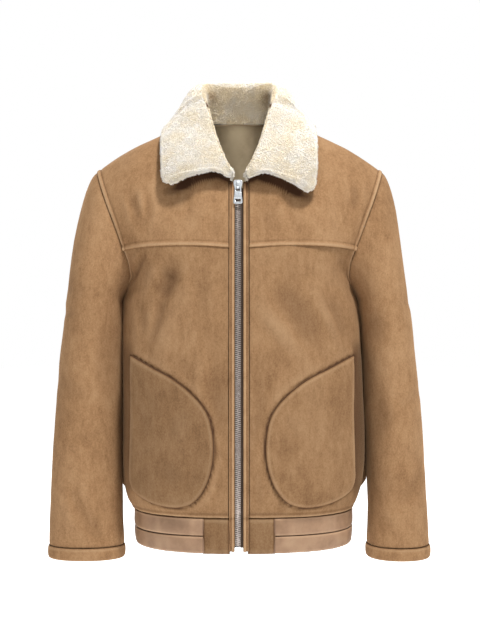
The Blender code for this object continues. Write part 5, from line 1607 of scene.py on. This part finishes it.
for side in (right, left):
    makeFrontEdge(side)
    makeTape(side)
makeChain()
makeSlider()
print("front edges and zip are made")


# Collar: a leather skin with clipped curly fur standing on it, all round its edge

collarTable = makeTable(("along", "rollX", "rollY", "rollZ", "edgeX", "edgeY", "edgeZ",
                         "standPull", "fallPull"), (
    (0.000, 12.0, -106.0, -103.0, 103.0, -111.0, -121.0, 11.0, 70.0),
    (0.070, 14.0, -104.0, -94.0, 116.0, -107.0, -112.0, 12.0, 70.0),
    (0.140, 20.0, -97.0, -82.0, 120.0, -99.0, -95.0, 14.0, 70.0),
    (0.225, 30.0, -80.0, -58.0, 122.0, -82.0, -68.0, 17.0, 70.0),
    (0.310, 40.0, -54.0, -26.0, 124.0, -58.0, -43.0, 20.0, 72.0),
    (0.400, 50.0, -24.0, 12.0, 125.0, -30.0, -23.0, 26.0, 74.0),
    (0.500, 58.0, 2.0, 42.0, 124.0, 0.0, -14.0, 40.0, 80.0),
    (0.625, 63.0, 28.0, 62.0, 114.0, 44.0, -16.0, 56.0, 86.0),
    (0.750, 54.0, 49.0, 73.0, 90.0, 78.0, -20.0, 62.0, 88.0),
    (0.875, 30.0, 60.0, 75.0, 48.0, 99.0, -24.0, 64.0, 88.0),
    (1.000, 0.0, 63.0, 75.0, 0.0, 105.0, -25.0, 64.0, 88.0),
))
collarValues = {
    "leftDrop": 12.0, "wall": 9.0, "standWall": 5.5, "rollWall": 2.6, "overhang": 1.2,
    "seamLift": 0.9, "rest": 2.6, "tipRest": 5.0, "startX": 12.0, "lookOut": 30.0, "steps": 16,
    "rounds": 6, "finerAlong": 4, "finerDown": 4, "furDepth": 0.28, "standDepth": 0.5, "skinThick": 0.6,
    "rollRounds": 14, "endLift": 10.0, "rollCover": 5.4, "cornerTrim": 4.0, "lumps": 1.0,
}
furValues = {"tufts": 64000, "width": 0.92, "length": 1.0, "shortest": 3.2, "lean": 0.6, "clump": 0.30,
             "spread": 0.18, "curl": 0.22, "endTufts": 3200, "endLong": 5.4}


# how far the fur's front ends reach past the leather, by steps out from the roll
endTable = makeTable(("step", "reach"), ((0.0, 7.0), (3.0, 7.0), (7.0, 1.5), (14.0, 1.0), (21.0, 3.0), (27.0, 6.0),
                                            (32.0, 3.0)))


def seamOnNeck(side, along):
    face = front if along <= 0.5 else back
    neck = (0.12, 0.21, 0.3, 0.365, 0.4)
    shares = (0.0,) + ((frontStart,) + neck if face == front else (0.1, 0.2, 0.3, 0.4))
    share = cut["neckShare"] * (along * 2 if face == front else 2 - along * 2)
    k = min(len(shares) - 2, max(0, int(np.searchsorted(shares, share, side="right")) - 1))
    part = (share - shares[k]) / (shares[k + 1] - shares[k])
    points = [topEdge(side, face, shares[k + n]) for n in (0, 1)]
    seam = points[0] * (1 - part) + points[1] * part
    depth = cut["neckFrontY"] if face == front else cut["neckBackY"]
    return seam, unit((-seam[0] / cut["neckHalf"] ** 2, -seam[1] / depth**2, 0.0))


def collarStations():
    ahead = [float(xShare(collarValues["startX"])), frontStart, 0.12, 0.21, 0.3, 0.365, 0.4]
    plain = [s / 0.8 for s in ahead] + [1 - s / 0.8 for s in (0.3, 0.2, 0.1, 0.0)]
    stations = []
    for here, after in zip(plain, plain[1:]):
        stations.append(here)
        if 0.05 < (here + after) / 2 < 0.9:
            stations.append((here + after) / 2)
    return stations + plain[-1:]


def collarSection(side, along):
    value = collarValues
    at = {name: float(read(collarTable, name, along)) for name in collarTable}
    roll = np.array([side * at["rollX"], at["rollY"], at["rollZ"]])
    drop = value["leftDrop"] * float(1 - smooth(0.0, 0.24, along)) if side == left else 0.0
    edge = np.array([side * at["edgeX"], at["edgeY"], at["edgeZ"] - drop])
    seam, wayIn = seamOnNeck(side, along)
    base = seam + wayIn * (value["standWall"] - value["overhang"]) + np.array([0, 0, value["seamLift"]])
    up = unit(np.array([0.0, 0.0, 1.0]) + wayIn * 0.12)
    outward = unit((edge - base) * np.array([1.0, 1.0, 0.0]))
    fallWay = unit(edge - roll + np.array([0.0, 0.0, -0.5]) * np.linalg.norm(edge - roll))
    half = value["steps"] // 2
    stand, fall = at["standPull"], at["fallPull"]
    points = [hermite(base, roll, up * stand, outward * stand, k / half) for k in range(half)]
    points += [hermite(roll, edge, outward * fall, fallWay * fall, k / half) for k in range(half + 1)]
    return np.array(points), wayIn


def collarNormals(fur, waysIn):
    along = np.empty_like(fur)
    along[1:-1] = fur[2:] - fur[:-2]
    along[0], along[-1] = fur[1] - fur[0], fur[-1] - fur[-2]
    down = np.empty_like(fur)
    down[:, 1:-1] = fur[:, 2:] - fur[:, :-2]
    down[:, 0], down[:, -1] = fur[:, 1] - fur[:, 0], fur[:, -1] - fur[:, -2]
    normal = unit(np.cross(along, down))
    for j in (0, 1, 2):
        normal[:, j] = unit(waysIn * (1 - j / 3) + normal[:, j] * j / 3)
    return normal


def finer(grid, count, axis):
    # more points on smooth curves through the grid, along one axis
    grid = np.moveaxis(grid, axis, 0)
    first, last = 2 * grid[0] - grid[1], 2 * grid[-1] - grid[-2]
    whole = np.concatenate([first[None], grid, last[None]])
    a, b, c, d = whole[:-3], whole[1:-2], whole[2:-1], whole[3:]
    rows = [hermite(b, c, (c - a) / 2, (d - b) / 2, k / count) for k in range(count)]
    made = np.stack(rows, axis=1).reshape(-1, *grid.shape[1:])
    return np.moveaxis(np.concatenate([made, grid[-1:]]), 0, axis)


def collarForm():
    value = collarValues
    stations = collarStations()
    sections = [collarSection(right, s) for s in stations]
    sections += [collarSection(left, s) for s in reversed(stations[:-1])]
    fur = np.array([s[0] for s in sections])
    waysIn = np.array([s[1] for s in sections])
    steps = np.arange(value["steps"] + 1)
    half = value["steps"] // 2
    walls = (value["rollWall"] + (value["standWall"] - value["rollWall"]) * smooth(half, half - 5, steps)
             + (value["wall"] - value["rollWall"]) * smooth(half, half + 6, steps))
    trees = []
    for node in ("front_right", "front_left", "yoke_right", "yoke_left", "back"):
        mesh = frame["nodes"][node].data
        trees.append(BVHTree.FromPolygons([v.co for v in mesh.vertices],
                                          [tuple(p.vertices) for p in mesh.polygons]))
    rests = np.full(len(steps), value["rest"])
    rests[-1] = value["tipRest"]
    for _ in range(value["rounds"]):
        normals = collarNormals(fur, waysIn)
        lifted = fur.copy()
        for i in range(len(fur)):
            for j in range(2, len(steps)):
                reach = value["lookOut"] + walls[j] + rests[j]
                start = Vector((fur[i, j] + normals[i, j] * value["lookOut"]) * mm)
                hits = [t.ray_cast(start, Vector(-normals[i, j]), reach * mm)[3] for t in trees]
                near = [hit / mm for hit in hits if hit is not None]
                if near:
                    lifted[i, j] = fur[i, j] + normals[i, j] * (reach - min(near))
        fur = lifted
    guide = collarNormals(fur, waysIn)
    fine, guide = (finer(finer(grid, value["finerAlong"], 0), value["finerDown"], 1)
                   for grid in (fur, guide))
    fineIn = unit(finer(waysIn, value["finerAlong"], 0))
    fineWalls = finer(walls, value["finerDown"], 0)
    turn = half * value["finerDown"]
    for _ in range(value["rollRounds"]):
        fine[:, turn - 9:turn + 7] = (fine[:, turn - 10:turn + 6] + fine[:, turn - 8:turn + 8]) / 2
    # the fur's front ends reach a little past the leather
    down = np.arange(fine.shape[1])
    reach = (read(endTable, "reach", down - turn)[:, None]
             * smooth(turn - 3, turn, down)[:, None] / 2)
    for row, beside in ((0, 1), (-1, -2)):
        way = unit(fine[row] - fine[beside])
        more = [fine[row] + way * reach, fine[row] + way * reach * 2]
        parts = ([more[1][None], more[0][None], fine] if row == 0
                 else [fine, more[0][None], more[1][None]])
        fine = np.concatenate(parts)
    fineIn = np.concatenate([fineIn[:1], fineIn[:1], fineIn, fineIn[-1:], fineIn[-1:]])
    guide = np.concatenate([guide[:1], guide[:1], guide, guide[-1:], guide[-1:]])
    near = smooth(0, 12, down)[None, :, None]
    normal = unit(fineIn[:, None] * (1 - near) + gridNormals(fine, guide) * near)
    # the front ends stand off the yoke, and the edge above the shoulder is trimmed round
    rows = np.minimum(np.arange(len(fine)), len(fine) - 1 - np.arange(len(fine)))[:, None]
    lift = np.exp(-((rows / 9.0) ** 2)) * (smooth(turn + 1, turn + 12, down)
                                           * smooth(turn + 40, turn + 22, down))[None]
    high = (np.exp(-(((fine[:, turn:turn + 1, 2] - 4.0) / 16.0) ** 2))
            * smooth(-60.0, -38.0, -fine[:, turn:turn + 1, 1]))
    cover = high * (smooth(turn - 4, turn + 1, down) * smooth(turn + 22, turn + 9, down))[None]
    fine = fine + normal * (value["endLift"] * lift + value["rollCover"] * cover)[..., None]
    edge = (np.exp(-(((fine[:, -1:, 1] - 4.0) / 24.0) ** 2))
            * smooth(turn + 12, turn + 32, down)[None])
    fine = fine - unit(np.gradient(fine, axis=1)) * (value["cornerTrim"] * edge)[..., None]
    return fine, normal, fineWalls, turn


def makeCollar():
    value = collarValues
    fur, normal, walls, turn = collarForm()
    last = fur.shape[1] - 1
    depth = value["standDepth"]
    depth = depth + (walls * value["furDepth"] - depth) * smooth(turn, turn + 10, np.arange(last + 1))
    lump = value["lumps"] * (1.0 * lattice(fur, 26.0, 211) + 0.5 * lattice(fur, 12.0, 212))
    grow = smooth(0.0, 10.0, np.arange(last + 1))[None]
    fur = fur + normal * (lump * grow * np.clip(walls / 9.0, 0.4, 1.0))[..., None]
    skin = fur - normal * depth[None, :, None]
    # the skin inside the stand takes the same painted shade
    tone = 0.4 - insideShade(skin, np.arange(last + 1)[None], turn)
    skinPiece = shell("collarSkin", skin, normal, value["skinThick"], shearling, tone, dark=0.3,
                      rounding=0.1)
    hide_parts("collar")
    behind = value["standDepth"] + value["skinThick"] + 0.05
    behind = behind + (walls - 0.6 - behind) * smooth(turn + 1, turn + 12, np.arange(last + 1))
    under = fur - normal * behind[None, :, None]
    # the underside is painted dark all over, as shade under the fall and the stand
    underPiece = shell("collarUnderside", under[::2, ::2], normal[::2, ::2], 0.6, suede, -0.95,
                       rounding=0.1, reach=2.2)
    return fur, normal, walls, depth, turn


def insideShade(points, column, turn):
    # the fur inside the stand is painted tanner and darker as shade, less so at its top, darkest in the back's two
    # upper corners as painted shadow
    inside = smooth(turn + 1, turn - 7, column) * (0.12 + 0.88 * smooth(70.0, 42.0, points[..., 2]))
    away = np.hypot(np.abs(points[..., 0]) - 48.0, (points[..., 2] - 46.0) * 0.8)
    return inside * (0.08 + 1.1 * np.exp(-((away / 11.0) ** 2)))


def collarFur(fur, normal, walls, depth, rollAt):
    value = furValues
    rows, columns = fur.shape[:2]
    downWay = unit(np.gradient(fur, axis=1))
    alongWay = unit(np.gradient(fur, axis=0))
    root = fur - normal * (depth + 0.35)[None, :, None]
    way = normal.copy()
    long = np.maximum(np.broadcast_to(depth, (rows, columns)) + 0.5, value["shortest"])
    flow = downWay.copy()
    # round the edge, from the fur side to the under side
    turns = np.radians((0.0, 22.0, 45.0, 68.0, 90.0, 112.0, 132.0))
    wall = walls[-1]
    end, endNormal, endWay = fur[:, -1], normal[:, -1], downWay[:, -1]
    middle = end - endNormal * wall * 0.60
    edgeRoot, edgeTurn, edgeLong, edgeFlow = [], [], [], []
    for turn in turns:
        spread = endNormal * math.cos(turn) + endWay * math.sin(turn)
        edgeRoot.append(middle + endNormal * math.cos(turn) * wall * 0.10 + endWay * (math.sin(turn) * 0.6 - 1.2))
        edgeTurn.append(spread)
        reach = 5.6 if turn < 1.8 else 4.6
        edgeLong.append(np.full(rows, reach))
        edgeFlow.append(-endNormal * math.sin(turn) + endWay * math.cos(turn))
    root = np.concatenate([root, np.stack(edgeRoot, 1)], 1)
    way = np.concatenate([way, np.stack(edgeTurn, 1)], 1)
    long = np.concatenate([long, np.stack(edgeLong, 1)], 1)
    flow = np.concatenate([flow, np.stack(edgeFlow, 1)], 1)
    shown = root + way * long[..., None]
    cell = np.linalg.norm(np.cross(shown[1:, 1:] - shown[:-1, :-1],
                                   shown[1:, :-1] - shown[:-1, 1:]), axis=-1) / 2
    cell[:, : 10] *= 0.5
    total = np.cumsum(cell.ravel())
    count = value["tufts"]
    pick = np.searchsorted(total, (np.arange(count) + rng.random(count)) / count * total[-1])
    pick = np.minimum(pick, len(total) - 1)
    i, j = pick // cell.shape[1], pick % cell.shape[1]
    u, v = rng.random(count)[:, None], rng.random(count)[:, None]

    def blend(grid):
        a, b, c, d = grid[i, j], grid[i, j + 1], grid[i + 1, j], grid[i + 1, j + 1]
        if a.ndim == 1:
            a, b, c, d = (g[:, None] for g in (a, b, c, d))
        return (a * (1 - v) + b * v) * (1 - u) + (c * (1 - v) + d * v) * u

    at, out, far, along = blend(root), unit(blend(way)), blend(long), unit(blend(flow))
    makeTufts("collarFur", at, out, far, along, i, insideShade(at, j + v[:, 0], rollAt))
    # the collar's two front ends
    for name, row, sign in (("Right", 0, -1.0), ("Left", -1, 1.0)):
        count = value["endTufts"]
        steps = np.linalg.norm(np.diff(fur[row], axis=0), axis=1)
        steps[:rollAt] *= 2.0
        run = np.cumsum(steps)
        ends = np.searchsorted(run, rng.random(count) * run[-1])
        ends = np.clip(ends, 4, columns - 2)
        share = rng.random(count)[:, None]
        spot = root[row, ends] * (1 - share) + root[row, ends + 1] * share
        spot = spot - way[row, ends] * rng.random((count, 1)) * (walls[ends] * 0.55)[:, None]
        outward = sign * alongWay[row, ends]
        angle = rng.uniform(0.35, 1.9, count)[:, None]
        fan = unit(way[row, ends] * np.cos(angle) + outward * np.sin(angle))
        size = np.full((count, 1), value["endLong"])
        makeTufts("collarFurEnd" + name, spot, fan, size, unit(flow[row, ends]), None, np.zeros(count))


def makeTufts(name, at, out, far, along, rows, inside):
    value = furValues
    count = len(at)
    noise = [np.stack([lattice(at, scale, 220 + k * 3 + n) for n in range(3)], -1)
             for k, scale in enumerate((6.5, 3.2))]
    lean = out + along * value["lean"] * 0.5 + value["clump"] * (noise[0] * 0.6 + noise[1] * 0.5)
    lean = unit(lean + value["spread"] * rng.normal(size=(count, 3)) * 0.6)
    lean = unit(lean + out * np.maximum(0.0, 0.55 - (lean * out).sum(-1, keepdims=True)))
    side = unit(np.cross(lean, unit(rng.normal(size=(count, 3)))))
    other = np.cross(lean, side)
    long = far * value["length"] * rng.uniform(0.9, 1.08, (count, 1))
    wide = value["width"] * rng.uniform(0.75, 1.25, (count, 1))
    bend = value["curl"] * long * (side * rng.uniform(-1, 1, (count, 1)) + noise[1] * 0.8)
    middle = at + lean * long * 0.42 + bend * 0.2
    tip = at + lean * long * 0.98 + bend
    rings = [middle + (side * math.cos(turn) + other * math.sin(turn)) * wide
             for turn in (0.0, 2 * math.pi / 3, 4 * math.pi / 3)]
    points = np.stack([at] + rings + [tip], axis=1)
    one = ((0, 2, 1), (0, 3, 2), (0, 1, 3), (1, 2, 4), (2, 3, 4), (3, 1, 4))
    shade = np.array([0.4, 0.7, 0.7, 0.7, 1.0])[None] + rng.uniform(-0.12, 0.12, (count, 1))
    # tufts inside the stand carry the painted shade as a value below 0
    shade = np.where(inside[:, None] > 0.02, shade * 0.1 - inside[:, None], shade)
    if rows is None:
        groups = {name: np.arange(count)}
    else:
        cuts = np.quantile(rows, (1 / 3, 2 / 3))
        groups = {name + "Right": np.flatnonzero(rows <= cuts[0]),
                  name + "Back": np.flatnonzero((rows > cuts[0]) & (rows <= cuts[1])),
                  name + "Left": np.flatnonzero(rows > cuts[1])}
    for key, chosen in groups.items():
        base = np.arange(len(chosen)) * 5
        faces = []
        for face in one:
            faces += (base[:, None] + np.array(face)[None]).tolist()
        mesh = meshOf(key, points[chosen].reshape(-1, 3), faces, shade[chosen], turn=False)
        finishPiece(key, mesh, shearling)
        print(key, len(chosen), "tufts")


collarFur(*makeCollar())
print("collar is made")


# Studio: a plain pale floor, soft light from the upper right and a paler fill from the left

studio = {
    "cameraAt": (0.0017, -1.8, -0.3318), "lens": 61.2,
    "floorZ": -0.93, "world": 0.34,
    "key": ((0.7, -1.35, 2.3), 0.4, 104.0), "fill": ((-0.7, -2.7, -0.3), 1.4, 9.0),
    "top": ((0.2, 0.6, 1.9), 1.2, 14.0), "rear": ((-1.2, 2.4, 1.0), 1.4, 36.0),
}
bpy.context.scene.view_settings.view_transform = "Standard"
camera = bpy.data.objects.new("camera", bpy.data.cameras.new("camera"))
camera.data.lens = studio["lens"]
camera.data.sensor_width = 36.0
camera.location = studio["cameraAt"]
camera.rotation_euler = (math.pi / 2, 0.0, 0.0)
bpy.context.scene.collection.objects.link(camera)
bpy.context.scene.camera = camera


def addLight(name, at, size, power):
    light = bpy.data.lights.new(name, "AREA")
    light.size, light.energy = size, power
    lamp = bpy.data.objects.new(name, light)
    lamp.location = at
    toward = Vector((0.0, 0.0, -0.35)) - Vector(at)
    lamp.rotation_euler = toward.to_track_quat("-Z", "Y").to_euler()
    bpy.context.scene.collection.objects.link(lamp)


for name in ("key", "fill", "top", "rear"):
    addLight(name, *studio[name])
world = bpy.data.worlds.new("studioWorld")
world.use_nodes = True
tree = world.node_tree
sky = tree.nodes["Background"]
sky.inputs["Color"].default_value = (1.0, 0.985, 0.965, 1.0)
sky.inputs["Strength"].default_value = studio["world"]
whiteSky = tree.nodes.new("ShaderNodeBackground")
whiteSky.inputs["Color"].default_value = (1.0, 1.0, 1.0, 1.0)
whiteSky.inputs["Strength"].default_value = 1.0
seen = tree.nodes.new("ShaderNodeLightPath")
either = tree.nodes.new("ShaderNodeMixShader")
tree.links.new(seen.outputs["Is Camera Ray"], either.inputs[0])
tree.links.new(sky.outputs[0], either.inputs[1])
tree.links.new(whiteSky.outputs[0], either.inputs[2])
tree.links.new(either.outputs[0], tree.nodes["World Output"].inputs["Surface"])
bpy.context.scene.world = world


def makeFloor():
    mesh = bpy.data.meshes.new("floor")
    ring = [(12 * math.cos(a), 12 * math.sin(a), studio["floorZ"])
            for a in np.linspace(0, 2 * math.pi, 65)[:-1]]
    mesh.from_pydata(ring, [], [tuple(range(64))])
    paint = Finish("studioFloor", 0.9)
    speckle = paint.noise(3.0, 2.0, 0.5)
    paint.colour(paint.ramp(speckle, (0.3, (0.93, 0.93, 0.93)), (0.7, (0.95, 0.95, 0.95))))
    paint.shader.inputs["Emission Color"].default_value = (1.0, 1.0, 1.0, 1.0)
    paint.shader.inputs["Emission Strength"].default_value = 0.7
    mesh.materials.append(paint.material)
    floor = bpy.data.objects.new("floor", mesh)
    bpy.context.scene.collection.objects.link(floor)


makeFloor()
